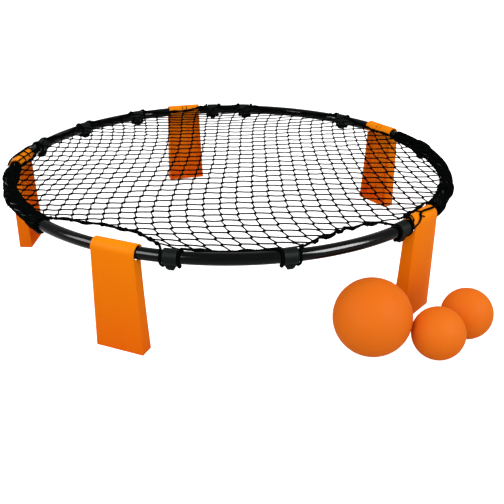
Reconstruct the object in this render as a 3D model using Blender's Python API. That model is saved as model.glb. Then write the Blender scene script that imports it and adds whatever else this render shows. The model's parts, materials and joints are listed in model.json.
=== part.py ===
"""Roundnet set: a round net on a low rim with five folding legs, and three balls.

Metres, +Z up. The set stands on the ground at z = 0. The script models everything about
the centre of the rim and then hangs it on one empty, so that the world origin lies under
the middle of the whole set's box. Azimuths are in degrees, counter-clockwise from +X as
seen from above; the front of the set is at -Y.
"""

import math

import bmesh
import bpy
from mathutils import Vector

# Rim: five curved tubes pushed onto sleeves, with one joint under each leg's saddle.
RIM_RADIUS = 0.4463         # centre of the rim to the middle of the tube
RIM_HEIGHT = 0.185          # ground to the middle of the tube
TUBE_RADIUS = 0.0107
TUBE_WALL = 0.0012
TUBE_SIDES = 12
TUBE_STEPS = 14             # straight chords along one tube
SLEEVE_WALL = 0.0012
FIT_GAP = 0.0003            # between faces that touch on the real set
JOINT_SLIT = 0.0004         # between the ends of two tubes

# Legs: a channel that stands on its edges, with a saddle that turns on the tube.
LEG_AZIMUTHS = (245.7, 318.4, 33.7, 105.8, 176.0)
LEG_TOP_WIDTH = 0.0800
LEG_FOOT_WIDTH = 0.0912
LEG_WALL = 0.0028
SADDLE_WRAP = 205.0         # degrees round the tube, from the outer panel to the inner lip
SADDLE_STEPS = 11
FLANGE_DEPTH_TOP = 0.0215   # from the outer face of the panel
FLANGE_DEPTH_FOOT = 0.0270
FLANGE_FLARE_POWER = 2.0    # how late the flare widens: 1 is a straight edge
FLANGE_STEPS = 7
CHEEK_TURNS = (60.0, 30.0)  # degrees below level; here the side walls follow the tube
FOOT_EDGE_INSET = 0.0003    # foot plate's inner edge, behind the edges of the side walls
SLOT_CENTRE = 0.0052        # the saddle's snap tongue lies between two slots
SLOT_WIDTH = 0.0024
SLOT_FIRST_STEP = 5         # the slots run between these two steps of the saddle
SLOT_LAST_STEP = 8
RIB_OFFSET = 0.0140         # two low ribs on the inside of the panel
RIB_WIDTH = 0.0018
RIB_DEPTH = 0.0030
RIB_TOP_CLEARANCE = 0.012   # below the underside of the tube

# Net hooks: three clips to a tube. Each line has a tube's first hook, in metres past the
# saddle's edge, its middle one, as a share of the way from the first to the last, and its
# last one, in metres before the next saddle's edge.
HOOK_PLACES = (
    (0.0548, 0.459, 0.0190),
    (0.0346, 0.269, 0.1184),
    (0.0866, 0.760, 0.0377),
    (0.0882, 0.499, 0.0610),
    (0.0610, 0.483, 0.1511),
)
HOOK_WIDTH = 0.024          # along the tube
HOOK_WALL = 0.0020
HOOK_TIP_WIDTH = 0.0090
HOOK_DROP = 0.0125          # tip of the hook below the tube
HOOK_LIP = 0.0018           # wall of the crook's inner lip
HOOK_STEM = 0.0058          # thickness of the hook outside the cord

# Border cord: one loop that is pulled over the rim and caught under each hook.
CORD_RADIUS = 0.0022
CORD_SIDES_LEVEL = 1        # bevel resolution: six sides
CORD_CLEARANCE = 0.0004
CORD_BESIDE_HOOK = 0.0016   # between the end of a hook's collar and the cord
CORD_BEHIND_CORNER = 0.0012 # where the cord is behind the hook, before the collar's end
SADDLE_SHOULDER = 0.005     # length of cord that stays at the saddle's height past its end
SADDLE_RAMP = 0.010         # length of the cord's rise beside a saddle
SPAN_LEAD = 0.011           # from the cord's fall beside a hook to the open stretch
SPAN_STEPS = 8              # chords in a stretch of 30 degrees
# How far the cord is drawn in from the tube between each hook and the next one.
SPAN_DEPTHS = (0.014, 0.048, 0.010, 0.016, 0.020, 0.030, 0.024, 0.014, 0.008,
               0.020, 0.022, 0.027, 0.016, 0.017, 0.068)

# Net: the real one has a strand every 27.4 mm, and this solid has every second strand.
NET_HEIGHT = 0.006          # net above the middle of the tube
STRAND_SPACING = 0.0274
STRANDS_PER_LINE = 2
STRAND_THICKNESS = 0.0024
NET_EDGE_MIN = 0.0190       # edge of the net to the middle of the tube, at the least
NET_EDGE_MARGIN = 0.0010    # beyond touching the cord, for the straight chords of both
NET_LINE_INSET = 0.030      # net's edge to its outermost line, at the least, before it relaxes
RELAX_ROUNDS = 300

# Balls: the large one stands beside the rim, and each small one beside the ball before it.
LARGE_BALL_RADIUS = 0.0665
LARGE_BALL_WALL = 0.0030
LARGE_BALL_AZIMUTH = 298.8
LARGE_BALL_OUTWARD = 0.0433     # middle of the tube to the middle of the ball
SMALL_BALL_RADIUS = 0.0450
SMALL_BALL_WALL = 0.0025
SMALL_BALL_HEADINGS = (("small_front", -9.6), ("small_back", 43.4))
BALL_GAP = 0.0010               # between two neighbours
BALL_SEGMENTS = 20
BALL_RINGS = 10
BALL_INNER_RINGS = 5
VALVE_RADIUS = 0.0026
VALVE_LENGTH = 0.0045

COLOURS = {  # name: (red, green, blue, roughness, metallic)
    "rim_tube_black": (0.012, 0.013, 0.013, 0.25, 0.0),
    "sleeve_steel": (0.45, 0.45, 0.46, 0.40, 1.0),
    "hook_black": (0.018, 0.019, 0.019, 0.45, 0.0),
    "leg_orange": (0.80, 0.15, 0.008, 0.40, 0.0),
    "net_black": (0.010, 0.010, 0.010, 0.80, 0.0),
    "ball_orange": (0.83, 0.17, 0.030, 0.60, 0.0),
    "valve_black": (0.03, 0.03, 0.03, 0.70, 0.0),
}

CHORD_SAG = RIM_RADIUS * (1 - math.cos(math.pi / 5 / TUBE_STEPS))
WRAP_CENTRE = RIM_RADIUS - CHORD_SAG / 2     # what goes round the tube is centred here
LEG_SAG = RIM_RADIUS - math.sqrt(RIM_RADIUS ** 2 - (LEG_TOP_WIDTH / 2) ** 2)
HINGE_RADIUS = RIM_RADIUS - LEG_SAG / 2
SADDLE_FACET = SADDLE_WRAP / SADDLE_STEPS
SADDLE_REACH = TUBE_RADIUS + LEG_SAG / 2 + 1.5 * FIT_GAP    # to the flats of its bore
SADDLE_BORE = SADDLE_REACH / math.cos(math.radians(SADDLE_FACET / 2))
SADDLE_OUTER = SADDLE_BORE + LEG_WALL
HOOK_BORE = (TUBE_RADIUS + CHORD_SAG / 2 + FIT_GAP) / math.cos(math.pi / TUBE_SIDES)
HOOK_OUTER = HOOK_BORE + HOOK_WALL
CORD_WRAP = TUBE_RADIUS + CHORD_SAG / 2 + CORD_CLEARANCE + CORD_RADIUS
CORD_UNDER_HOOK = HOOK_OUTER + CORD_CLEARANCE + CORD_RADIUS
CORD_OVER_SADDLE = SADDLE_OUTER + LEG_SAG / 2 + 2 * CORD_CLEARANCE + CORD_RADIUS
CORD_WRAP_OFFSET = HOOK_WIDTH / 2 + CORD_BESIDE_HOOK + CORD_RADIUS
# The cord at a hook, from the open stretch to the middle of the hook: where it is along the
# tube, its turn round the tube from straight out, and its distance from the tube's middle.
HOOK_CROSSING = (
    (-CORD_WRAP_OFFSET - 0.0045, 112.0, CORD_WRAP),
    (-CORD_WRAP_OFFSET - 0.0010, 78.0, CORD_WRAP),
    (-CORD_WRAP_OFFSET, 40.0, CORD_WRAP),
    (-CORD_WRAP_OFFSET, 0.0, CORD_WRAP),
    (-CORD_WRAP_OFFSET, -40.0, CORD_WRAP),
    (-CORD_WRAP_OFFSET + 0.0004, -74.0, (CORD_WRAP + CORD_UNDER_HOOK) / 2),
    (-HOOK_WIDTH / 2 - CORD_BEHIND_CORNER, -96.0, CORD_UNDER_HOOK),
    (-HOOK_WIDTH / 3, -99.5, CORD_UNDER_HOOK),
    (0.0, -99.5, CORD_UNDER_HOOK),
)


def clear_scene():
    """Remove what the file opened with."""
    for obj in list(bpy.data.objects):
        bpy.data.objects.remove(obj, do_unlink=True)


def make_material(name):
    """A plain Principled material from the table of colours."""
    red, green, blue, roughness, metallic = COLOURS[name]
    material = bpy.data.materials.new(name)
    material.use_nodes = True
    shader = material.node_tree.nodes["Principled BSDF"]
    shader.inputs["Base Color"].default_value = (red, green, blue, 1.0)
    shader.inputs["Roughness"].default_value = roughness
    shader.inputs["Metallic"].default_value = metallic
    return material


def add_object(name, mesh, material=None, parent=None, smooth_angle=35.0):
    """Put a mesh in the scene under its node's name."""
    obj = bpy.data.objects.new(name, mesh)
    bpy.context.collection.objects.link(obj)
    if material is not None and not mesh.materials:
        mesh.materials.append(material)
    if isinstance(mesh, bpy.types.Mesh):
        mesh.shade_smooth()
        mesh.set_sharp_from_angle(angle=math.radians(smooth_angle))
    obj.parent = parent
    return obj


def mesh_from(name, points, faces):
    """A mesh whose faces all point out."""
    mesh = bpy.data.meshes.new(name)
    mesh.from_pydata([tuple(p) for p in points], [], faces)
    work = bmesh.new()
    work.from_mesh(mesh)
    bmesh.ops.recalc_face_normals(work, faces=work.faces)
    work.to_mesh(mesh)
    work.free()
    return mesh


def baked(obj):
    """The object's mesh with its modifiers applied; the object itself is removed."""
    bpy.context.view_layer.update()
    graph = bpy.context.evaluated_depsgraph_get()
    mesh = bpy.data.meshes.new_from_object(obj.evaluated_get(graph))
    mesh.name = obj.name
    bpy.data.objects.remove(obj, do_unlink=True)
    return mesh


def boolean(base, cutter, operation):
    """The base mesh joined with, or cut by, another mesh."""
    first = add_object(base.name, base)
    second = add_object(cutter.name + "_cutter", cutter)
    second.hide_render = True
    second.display_type = "WIRE"
    step = first.modifiers.new(operation.lower(), "BOOLEAN")
    step.operation = operation
    step.object = second
    mesh = baked(first)
    bpy.data.objects.remove(second, do_unlink=True)
    return mesh


def prism(name, outline, low, high):
    """An outline of (y, z) points drawn along x from low to high."""
    count = len(outline)
    points = [(x, y, z) for x in (low, high) for y, z in outline]
    faces = [(i, (i + 1) % count, count + (i + 1) % count, count + i) for i in range(count)]
    faces += [tuple(range(count)), tuple(range(count, 2 * count))]
    return mesh_from(name, points, faces)


def circle(radius, sides, start=0.0):
    """Points (y, z) round a circle."""
    angles = [math.radians(start) + 2 * math.pi * k / sides for k in range(sides)]
    return [(radius * math.cos(a), radius * math.sin(a)) for a in angles]


def on_rim(azimuth, inward, height, reference=WRAP_CENTRE):
    """A point at an azimuth, measured inward and upward from the middle of the tube."""
    angle = math.radians(azimuth)
    radius = reference - inward
    return Vector((radius * math.cos(angle), radius * math.sin(angle), RIM_HEIGHT + height))


def stand_at(obj, azimuth, radius, height):
    """Place an object whose +Y points outward and whose +X runs along the tube."""
    angle = math.radians(azimuth)
    obj.location = (radius * math.cos(angle), radius * math.sin(angle), height)
    obj.rotation_euler = (0.0, 0.0, angle - math.pi / 2)


def arc_pipe(name, azimuths, outer, inner):
    """A pipe along the rim with a ring of corners at each azimuth."""
    points = []
    for azimuth in azimuths:
        for radius in (outer, inner):
            points += [on_rim(azimuth, -y, z, RIM_RADIUS) for y, z in circle(radius, TUBE_SIDES)]
    faces = []
    ring = 2 * TUBE_SIDES
    for k in range(len(azimuths)):
        for i in range(TUBE_SIDES):
            j = (i + 1) % TUBE_SIDES
            if k + 1 < len(azimuths):
                for shift in (0, TUBE_SIDES):
                    a, b = k * ring + shift + i, k * ring + shift + j
                    faces.append((a, b, b + ring, a + ring))
            if k in (0, len(azimuths) - 1):
                a, b = k * ring + i, k * ring + j
                faces.append((a, b, b + TUBE_SIDES, a + TUBE_SIDES))
    return mesh_from(name, points, faces)


def tube_ends(index):
    """Azimuths of the two legs that a tube runs between, the second always the larger."""
    start = LEG_AZIMUTHS[index]
    end = LEG_AZIMUTHS[(index + 1) % len(LEG_AZIMUTHS)]
    return start, start + (end - start) % 360.0


def hook_azimuths():
    """Azimuths of all the hooks, counter-clockwise from the front-left leg."""
    azimuths = []
    for index, (past, share, before) in enumerate(HOOK_PLACES):
        start, end = tube_ends(index)
        first = start + math.degrees((LEG_TOP_WIDTH / 2 + past) / RIM_RADIUS)
        last = end - math.degrees((LEG_TOP_WIDTH / 2 + before) / RIM_RADIUS)
        azimuths += [first, first + (last - first) * share, last]
    return [azimuth % 360.0 for azimuth in azimuths]


HOOK_AZIMUTHS = hook_azimuths()


def tube_stations(index):
    """Azimuths of the corners of one rim tube, which runs from its leg to the next one."""
    start, end = tube_ends(index)
    slit = math.degrees(JOINT_SLIT / 2 / RIM_RADIUS)
    start, end = start + slit, end - slit
    return [start + (end - start) * k / TUBE_STEPS for k in range(TUBE_STEPS + 1)]


def build_rim(parent, material, sleeve_material):
    """Five tubes, and the sleeve inside each joint, one chord long to either side."""
    bore = TUBE_RADIUS - TUBE_WALL
    outer = bore - FIT_GAP
    for index in range(len(LEG_AZIMUTHS)):
        stations = tube_stations(index)
        tube = arc_pipe(f"rim_tube_{index + 1}", stations, TUBE_RADIUS, bore)
        add_object(tube.name, tube, material, parent)
        before = tube_stations(index - 1)[-2:]
        turn = 360.0 if before[1] - stations[0] > 180.0 else 0.0
        across = [before[0] - turn, before[1] - turn, stations[0], stations[1]]
        sleeve = arc_pipe(f"joint_sleeve_{index + 1}", across, outer, outer - SLEEVE_WALL)
        add_object(sleeve.name, sleeve, sleeve_material, parent)


def flange_depth(share):
    """Depth of the leg's side walls at a share of its height above the ground."""
    flare = (1 - share) ** FLANGE_FLARE_POWER
    return FLANGE_DEPTH_TOP + (FLANGE_DEPTH_FOOT - FLANGE_DEPTH_TOP) * flare


def leg_skin():
    """The outer skin of a leg about its hinge: panel, saddle and both side flanges."""
    half_slot = SLOT_WIDTH / 2
    slot = (SLOT_CENTRE - half_slot, SLOT_CENTRE + half_slot)
    columns = (-1.0, -slot[1], -slot[0], slot[0], slot[1], 1.0)
    reach = SADDLE_BORE + FIT_GAP
    rise = (RIM_HEIGHT - reach) / FLANGE_STEPS
    heights = [-RIM_HEIGHT + rise * k for k in range(FLANGE_STEPS + 1)]
    depths = [flange_depth(1 + z / RIM_HEIGHT) for z in heights]
    for turn in CHEEK_TURNS:
        heights.append(-reach * math.sin(math.radians(turn)))
        depths.append(SADDLE_OUTER - reach * math.cos(math.radians(turn)))

    def half_width(z):
        share = min(1.0, -z / RIM_HEIGHT) if z < 0 else 0.0
        return (LEG_TOP_WIDTH + (LEG_FOOT_WIDTH - LEG_TOP_WIDTH) * share) / 2

    profile = [(SADDLE_OUTER, z) for z in heights]
    for k in range(SADDLE_STEPS + 1):
        angle = math.radians(SADDLE_FACET * k)
        profile.append((SADDLE_OUTER * math.cos(angle), SADDLE_OUTER * math.sin(angle)))
    points = []
    for y, z in profile:
        width = half_width(z)
        points += [(c * width if abs(c) == 1.0 else c, y, z) for c in columns]
    faces = []
    for row in range(len(profile) - 1):
        step = row - len(heights)
        for column in range(len(columns) - 1):
            if column in (1, 3) and SLOT_FIRST_STEP <= step < SLOT_LAST_STEP:
                continue
            a = row * len(columns) + column
            faces.append((a, a + len(columns), a + len(columns) + 1, a + 1))
    for side, edge in ((-1, 0), (1, len(columns) - 1)):
        first = len(points)
        points += [(side * half_width(z), SADDLE_OUTER - depth, z)
                   for z, depth in zip(heights, depths)]
        for row in range(len(heights) - 1):
            low, high = row * len(columns) + edge, (row + 1) * len(columns) + edge
            quad = (low, high, first + row + 1, first + row)
            faces.append(quad if side > 0 else tuple(reversed(quad)))
    return points, faces


def leg_mesh():
    """One leg as a single closed body, with its foot plate and ribs joined on."""
    points, faces = leg_skin()
    mesh = bpy.data.meshes.new("leg")
    mesh.from_pydata(points, [], faces)
    obj = add_object("leg", mesh)
    wall = obj.modifiers.new("wall", "SOLIDIFY")
    wall.thickness = LEG_WALL
    wall.offset = -1.0
    wall.use_even_offset = True
    leg = baked(obj)
    for vert in leg.vertices:
        if vert.co.z < -RIM_HEIGHT + LEG_WALL:
            vert.co.z = -RIM_HEIGHT
    panel_inside = SADDLE_OUTER - LEG_WALL
    rib_back = panel_inside + LEG_WALL / 2
    plate_edge = SADDLE_OUTER - FLANGE_DEPTH_FOOT + FOOT_EDGE_INSET
    plate_top = -RIM_HEIGHT + LEG_WALL
    half_plate = (LEG_FOOT_WIDTH - LEG_WALL) / 2
    plate = prism("plate", [(rib_back, -RIM_HEIGHT), (plate_edge, -RIM_HEIGHT),
                            (plate_edge, plate_top), (rib_back, plate_top)],
                  -half_plate, half_plate)
    leg = boolean(leg, plate, "UNION")
    rib_foot = -RIM_HEIGHT + LEG_WALL / 2
    rib_top = -(SADDLE_BORE + RIB_TOP_CLEARANCE)
    outline = [(rib_back, rib_foot), (panel_inside - RIB_DEPTH, rib_foot),
               (panel_inside - RIB_DEPTH, rib_top - RIB_DEPTH), (rib_back, rib_top)]
    for side in (-1, 1):
        middle = side * RIB_OFFSET
        rib = prism("rib", outline, middle - RIB_WIDTH / 2, middle + RIB_WIDTH / 2)
        leg = boolean(leg, rib, "UNION")
    leg.name = "leg"
    return leg


def build_legs(parent, material):
    """Five legs, each with its origin on the tangent that it turns about."""
    mesh = leg_mesh()
    legs = []
    for index, azimuth in enumerate(LEG_AZIMUTHS):
        leg = add_object(f"leg_{index + 1}", mesh, material, parent)
        stand_at(leg, azimuth, HINGE_RADIUS, RIM_HEIGHT)
        legs.append(leg)
    return legs


def hook_mesh():
    """A clip round the tube with a crook below it that holds the cord."""
    half = HOOK_WIDTH / 2
    collar = prism("hook", circle(HOOK_OUTER, TUBE_SIDES), -half, half)
    cord_y = -CORD_RADIUS - FIT_GAP
    floor = -(CORD_UNDER_HOOK + CORD_RADIUS + 2 * CORD_CLEARANCE)
    tip = -(TUBE_RADIUS + HOOK_DROP)
    root = -(HOOK_BORE - HOOK_WALL)
    lip_inner = cord_y - CORD_RADIUS - 2 * CORD_CLEARANCE
    lip_outer = lip_inner - HOOK_LIP
    stem_outer = HOOK_STEM
    outline = [(0.0, root), (stem_outer, root), (stem_outer, floor), (stem_outer / 2, tip),
               (lip_outer / 2, tip), (lip_outer, floor - HOOK_LIP), (lip_outer, -CORD_UNDER_HOOK),
               (lip_inner, -CORD_UNDER_HOOK), (lip_inner, floor), (0.0, floor)]

    def half_width(z):
        share = (z - tip) / (-TUBE_RADIUS - tip)
        return (HOOK_TIP_WIDTH + (HOOK_WIDTH - HOOK_TIP_WIDTH) * min(share, 1.0)) / 2

    count = len(outline)
    points = [(side * half_width(z), y, z) for side in (-1, 1) for y, z in outline]
    faces = [(i, (i + 1) % count, count + (i + 1) % count, count + i) for i in range(count)]
    faces += [tuple(range(count)), tuple(range(count, 2 * count))]
    crook = mesh_from("crook", points, faces)
    bore = prism("bore", circle(HOOK_BORE, TUBE_SIDES), -HOOK_WIDTH, HOOK_WIDTH)
    mesh = boolean(boolean(collar, crook, "UNION"), bore, "DIFFERENCE")
    mesh.name = "hook"
    return mesh


def build_hooks(parent, material):
    """The clips round the rim, numbered from the front-left leg counter-clockwise."""
    mesh = hook_mesh()
    for index, azimuth in enumerate(HOOK_AZIMUTHS):
        hook = add_object(f"net_hook_{index + 1:02d}", mesh, material, parent)
        stand_at(hook, azimuth, WRAP_CENTRE, RIM_HEIGHT)


def angle_between(first, second):
    """Degrees from one azimuth to another, from -180 to 180."""
    return (second - first + 180.0) % 360.0 - 180.0


def wrap_radius(azimuth):
    """Least distance of the cord from the middle of the tube, larger over a saddle."""
    reach = LEG_TOP_WIDTH / 2 + SADDLE_SHOULDER
    radius = CORD_WRAP
    for leg in LEG_AZIMUTHS:
        along = abs(math.radians(angle_between(leg, azimuth))) * RIM_RADIUS
        share = min(1.0, max(0.0, 1 - (along - reach) / SADDLE_RAMP))
        radius = max(radius, CORD_WRAP + (CORD_OVER_SADDLE - CORD_WRAP) * share)
    return radius


def span_of(azimuth):
    """The stretch of cord at an azimuth: its first hook, its angle and how far along it is."""
    for index, hook in enumerate(HOOK_AZIMUTHS):
        following = HOOK_AZIMUTHS[(index + 1) % len(HOOK_AZIMUTHS)]
        width = (following - hook) % 360.0
        along = (azimuth - hook) % 360.0
        if along <= width:
            return index, width, along / width
    raise ValueError("no stretch of cord at this azimuth")


def cord_inset(azimuth):
    """How far the cord lies inside the middle of the tube, as a parabola between hooks."""
    index, _, share = span_of(azimuth)
    return SPAN_DEPTHS[index] * 4 * share * (1 - share)


def cord_section(azimuth):
    """The cord's (inward, upward) place at an azimuth, kept clear of tube and saddles."""
    index, _, _ = span_of(azimuth)
    inward = cord_inset(azimuth)
    fall = min(1.0, inward / SPAN_DEPTHS[index])
    upward = CORD_WRAP + (NET_HEIGHT - CORD_WRAP) * fall
    distance = math.hypot(inward, upward)
    least = wrap_radius(azimuth)
    if distance < least:
        inward, upward = inward * least / distance, upward * least / distance
    return inward, upward


def hook_crossing(azimuth):
    """Points of the cord over the tube, under one hook and back, counter-clockwise."""
    whole = list(HOOK_CROSSING)
    whole += [(-along, turn, distance) for along, turn, distance in reversed(HOOK_CROSSING[:-1])]
    points = []
    for along, turn, distance in whole:
        at = azimuth + math.degrees(along / RIM_RADIUS)
        angle = math.radians(turn)
        lift = max(0.0, math.sin(angle)) * (wrap_radius(at) - CORD_WRAP)
        distance += lift
        points.append(on_rim(at, -distance * math.cos(angle), distance * math.sin(angle)))
    return points


def cord_route():
    """Corners of the whole loop: each hook's crossing, then the stretch to the next hook."""
    route = []
    lead = math.degrees((CORD_WRAP_OFFSET + SPAN_LEAD) / RIM_RADIUS)
    for index, hook in enumerate(HOOK_AZIMUTHS):
        route += hook_crossing(hook)
        width = (HOOK_AZIMUTHS[(index + 1) % len(HOOK_AZIMUTHS)] - hook) % 360.0
        steps = max(2, round(SPAN_STEPS * width / 30.0))
        for k in range(steps + 1):
            azimuth = hook + lead + (width - 2 * lead) * k / steps
            inward, upward = cord_section(azimuth)
            route.append(on_rim(azimuth, inward, upward))
    return route


def build_cord(parent, material):
    """The border cord as one closed tube."""
    route = cord_route()
    curve = bpy.data.curves.new("border_cord", "CURVE")
    curve.dimensions = "3D"
    curve.bevel_depth = CORD_RADIUS
    curve.bevel_resolution = CORD_SIDES_LEVEL
    curve.materials.append(material)
    spline = curve.splines.new("POLY")
    spline.points.add(len(route) - 1)
    for place, point in zip(spline.points, route):
        place.co = (*point, 1.0)
    spline.use_cyclic_u = True
    add_object("border_cord", curve, material, parent)
    length = sum((route[k] - route[k - 1]).length for k in range(len(route)))
    print(f"border cord: {len(route)} corners, {length:.3f} m")


def net_edge(azimuth):
    """Distance of the net's edge inside the middle of the tube."""
    step = 1.0
    run = math.radians(2 * step) * RIM_RADIUS
    slope = (cord_inset(azimuth + step) - cord_inset(azimuth - step)) / run
    beside = CORD_RADIUS + STRAND_THICKNESS / 2 + NET_EDGE_MARGIN
    inward, _ = cord_section(azimuth)
    return max(inward + beside * math.hypot(1.0, slope), NET_EDGE_MIN)


def edge_angles(radius, lines):
    """Angles at which the net's lines meet its edge, with a point between distant ones."""
    angles = []
    for offset in lines:
        tilt = math.acos(offset / radius)
        angles += [tilt, -tilt, math.pi / 2 - tilt, math.pi / 2 + tilt]
    angles = sorted({round(a % (2 * math.pi), 9) for a in angles})
    filled = []
    for k, angle in enumerate(angles):
        following = angles[(k + 1) % len(angles)]
        gap = (following - angle) % (2 * math.pi)
        filled.append(angle)
        if gap * radius > STRAND_SPACING:
            filled.append(angle + gap / 2)
    return filled


def net_cells():
    """The net as flat cells: a disc cut by two sets of lines, then drawn to its edge."""
    radius = WRAP_CENTRE - NET_EDGE_MIN
    spacing = STRAND_SPACING * STRANDS_PER_LINE
    reach = int((radius - NET_LINE_INSET) / spacing)
    lines = [k * spacing for k in range(-reach, reach + 1)]
    work = bmesh.new()
    rim = [work.verts.new((radius * math.cos(a), radius * math.sin(a), 0.0))
           for a in edge_angles(radius, lines)]
    work.faces.new(rim)
    for offset in lines:
        for normal in (Vector((1, 0, 0)), Vector((0, 1, 0))):
            everything = work.verts[:] + work.edges[:] + work.faces[:]
            bmesh.ops.bisect_plane(work, geom=everything, dist=1e-5, plane_co=normal * offset,
                                   plane_no=normal)
    edge = [v for v in work.verts if v.is_boundary]
    inner = [v for v in work.verts if not v.is_boundary]
    for vert in edge:
        azimuth = math.degrees(math.atan2(vert.co.y, vert.co.x))
        vert.co = vert.co.normalized() * (WRAP_CENTRE - net_edge(azimuth))
    for _ in range(RELAX_ROUNDS):
        for vert in inner:
            around = [e.other_vert(vert).co for e in vert.link_edges]
            vert.co = sum(around, Vector()) / len(around)
    for vert in work.verts:
        vert.co.z = RIM_HEIGHT + NET_HEIGHT
    print(f"net: {len(work.faces)} gaps")
    mesh = bpy.data.meshes.new("net")
    work.to_mesh(mesh)
    work.free()
    return mesh


def build_net(parent, material):
    """The net's strands, as one lattice of four-sided bars."""
    net = add_object("net", net_cells(), material, parent)
    bars = net.modifiers.new("strands", "WIREFRAME")
    bars.thickness = STRAND_THICKNESS
    bars.use_boundary = True
    bars.use_even_offset = True
    bars.use_replace = True


def half_circle(radius, rings):
    """Points (distance from the axis, place along it) from one pole to the other, poles left out."""
    angles = [math.pi * k / rings for k in range(1, rings)]
    return [(radius * math.sin(a), radius * math.cos(a)) for a in angles]


def along_axis(radius):
    """Where a sphere's surface meets the valve hole's wall, along the hole's axis."""
    return math.sqrt(radius ** 2 - VALVE_RADIUS ** 2)


def ball_mesh(radius, wall):
    """A hollow ball turned about its valve hole, which opens towards +Y."""
    inner = radius - wall
    outside = [(VALVE_RADIUS, along_axis(radius))] + half_circle(radius, BALL_RINGS) + [(0.0, -radius)]
    inside = [(VALVE_RADIUS, along_axis(inner))] + half_circle(inner, BALL_INNER_RINGS) + [(0.0, -inner)]
    work = bmesh.new()
    outer_line = [work.verts.new((r, y, 0.0)) for r, y in outside]
    inner_line = [work.verts.new((r, y, 0.0)) for r, y in inside]
    edges = [work.edges.new((outer_line[0], inner_line[0]))]
    for line in (outer_line, inner_line):
        edges += [work.edges.new(pair) for pair in zip(line, line[1:])]
    bmesh.ops.spin(work, geom=outer_line + inner_line + edges, cent=(0, 0, 0), axis=(0, 1, 0),
                   dvec=(0, 0, 0), angle=2 * math.pi, steps=BALL_SEGMENTS, use_merge=True)
    bmesh.ops.remove_doubles(work, verts=work.verts, dist=1e-6)
    bmesh.ops.recalc_face_normals(work, faces=work.faces)
    mesh = bpy.data.meshes.new("ball")
    work.to_mesh(mesh)
    work.free()
    return mesh


def valve_mesh(radius):
    """The plug in the ball's valve hole, flush with the ball."""
    sides = BALL_SEGMENTS // 2
    ring = circle(VALVE_RADIUS - FIT_GAP, sides)
    face = along_axis(radius)
    points = [(x, y, z) for y in (face, face - VALVE_LENGTH) for x, z in ring]
    faces = [(k, (k + 1) % sides, sides + (k + 1) % sides, sides + k) for k in range(sides)]
    faces += [tuple(range(sides)), tuple(range(sides, 2 * sides))]
    return mesh_from("valve", points, faces)


def ball_places():
    """(name, radius, wall, x, y) of each ball."""
    angle = math.radians(LARGE_BALL_AZIMUTH)
    distance = RIM_RADIUS + LARGE_BALL_OUTWARD
    x, y = distance * math.cos(angle), distance * math.sin(angle)
    places = [("large", LARGE_BALL_RADIUS, LARGE_BALL_WALL, x, y)]
    neighbour = LARGE_BALL_RADIUS
    for name, heading in SMALL_BALL_HEADINGS:
        apart = 2 * math.sqrt(neighbour * SMALL_BALL_RADIUS) + BALL_GAP
        x += apart * math.cos(math.radians(heading))
        y += apart * math.sin(math.radians(heading))
        places.append((name, SMALL_BALL_RADIUS, SMALL_BALL_WALL, x, y))
        neighbour = SMALL_BALL_RADIUS
    return places


def build_balls(parent, rubber, plug):
    """Three balls on the ground beside the net, each with its valve turned to the back."""
    for name, radius, wall, x, y in ball_places():
        ball = add_object(f"ball_{name}", ball_mesh(radius, wall), rubber, parent)
        valve = add_object(f"valve_{name}", valve_mesh(radius), plug, parent)
        for piece in (ball, valve):
            piece.location = (x, y, radius)


def centre_on_box(root):
    """Move the whole set so that the middle of its box's base is at the world origin."""
    bpy.context.view_layer.update()
    graph = bpy.context.evaluated_depsgraph_get()
    corners = []
    for obj in bpy.data.objects:
        if obj.type == "EMPTY":
            continue
        shape = obj.evaluated_get(graph)
        mesh = shape.to_mesh()
        corners += [obj.matrix_world @ vert.co for vert in mesh.vertices]
        shape.to_mesh_clear()
    low = [min(c[axis] for c in corners) for axis in range(3)]
    high = [max(c[axis] for c in corners) for axis in range(3)]
    root.location = (-(low[0] + high[0]) / 2, -(low[1] + high[1]) / 2, -low[2])
    bpy.context.view_layer.update()
    print("box:", [round(h - v, 5) for v, h in zip(low, high)], "base", round(low[2], 6))


def report_places(root, legs):
    """Print where the rim's centre, the hinges and the balls are in the world."""
    print("rim centre:", [round(v, 6) for v in root.location])
    for leg, azimuth in zip(legs, LEG_AZIMUTHS):
        angle = math.radians(azimuth)
        axis = (-math.sin(angle), math.cos(angle), 0.0)
        print(leg.name, "hinge at", [round(v, 6) for v in leg.matrix_world.translation],
              "axis", [round(v, 6) for v in axis])
    for name, radius, _, x, y in ball_places():
        centre = root.matrix_world @ Vector((x, y, radius))
        print("ball", name, "centre", [round(v, 6) for v in centre])


def main():
    clear_scene()
    materials = {name: make_material(name) for name in COLOURS}
    root = bpy.data.objects.new("set_centre", None)
    bpy.context.collection.objects.link(root)
    build_rim(root, materials["rim_tube_black"], materials["sleeve_steel"])
    legs = build_legs(root, materials["leg_orange"])
    build_hooks(root, materials["hook_black"])
    build_cord(root, materials["net_black"])
    build_net(root, materials["net_black"])
    build_balls(root, materials["ball_orange"], materials["valve_black"])
    centre_on_box(root)
    report_places(root, legs)


main()
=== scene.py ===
"""Looks of the roundnet set: a round net on a low rim with five folding legs, and three balls.

Metres, +Z up, in the frame of the solids. Azimuths are in degrees about the centre of the
rim, counter-clockwise from +X as seen from above; the front of the set is at -Y.
"""

import bisect
import json
import math
import random

import bmesh
import bpy
import numpy as np
from mathutils import Matrix, Vector


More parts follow.
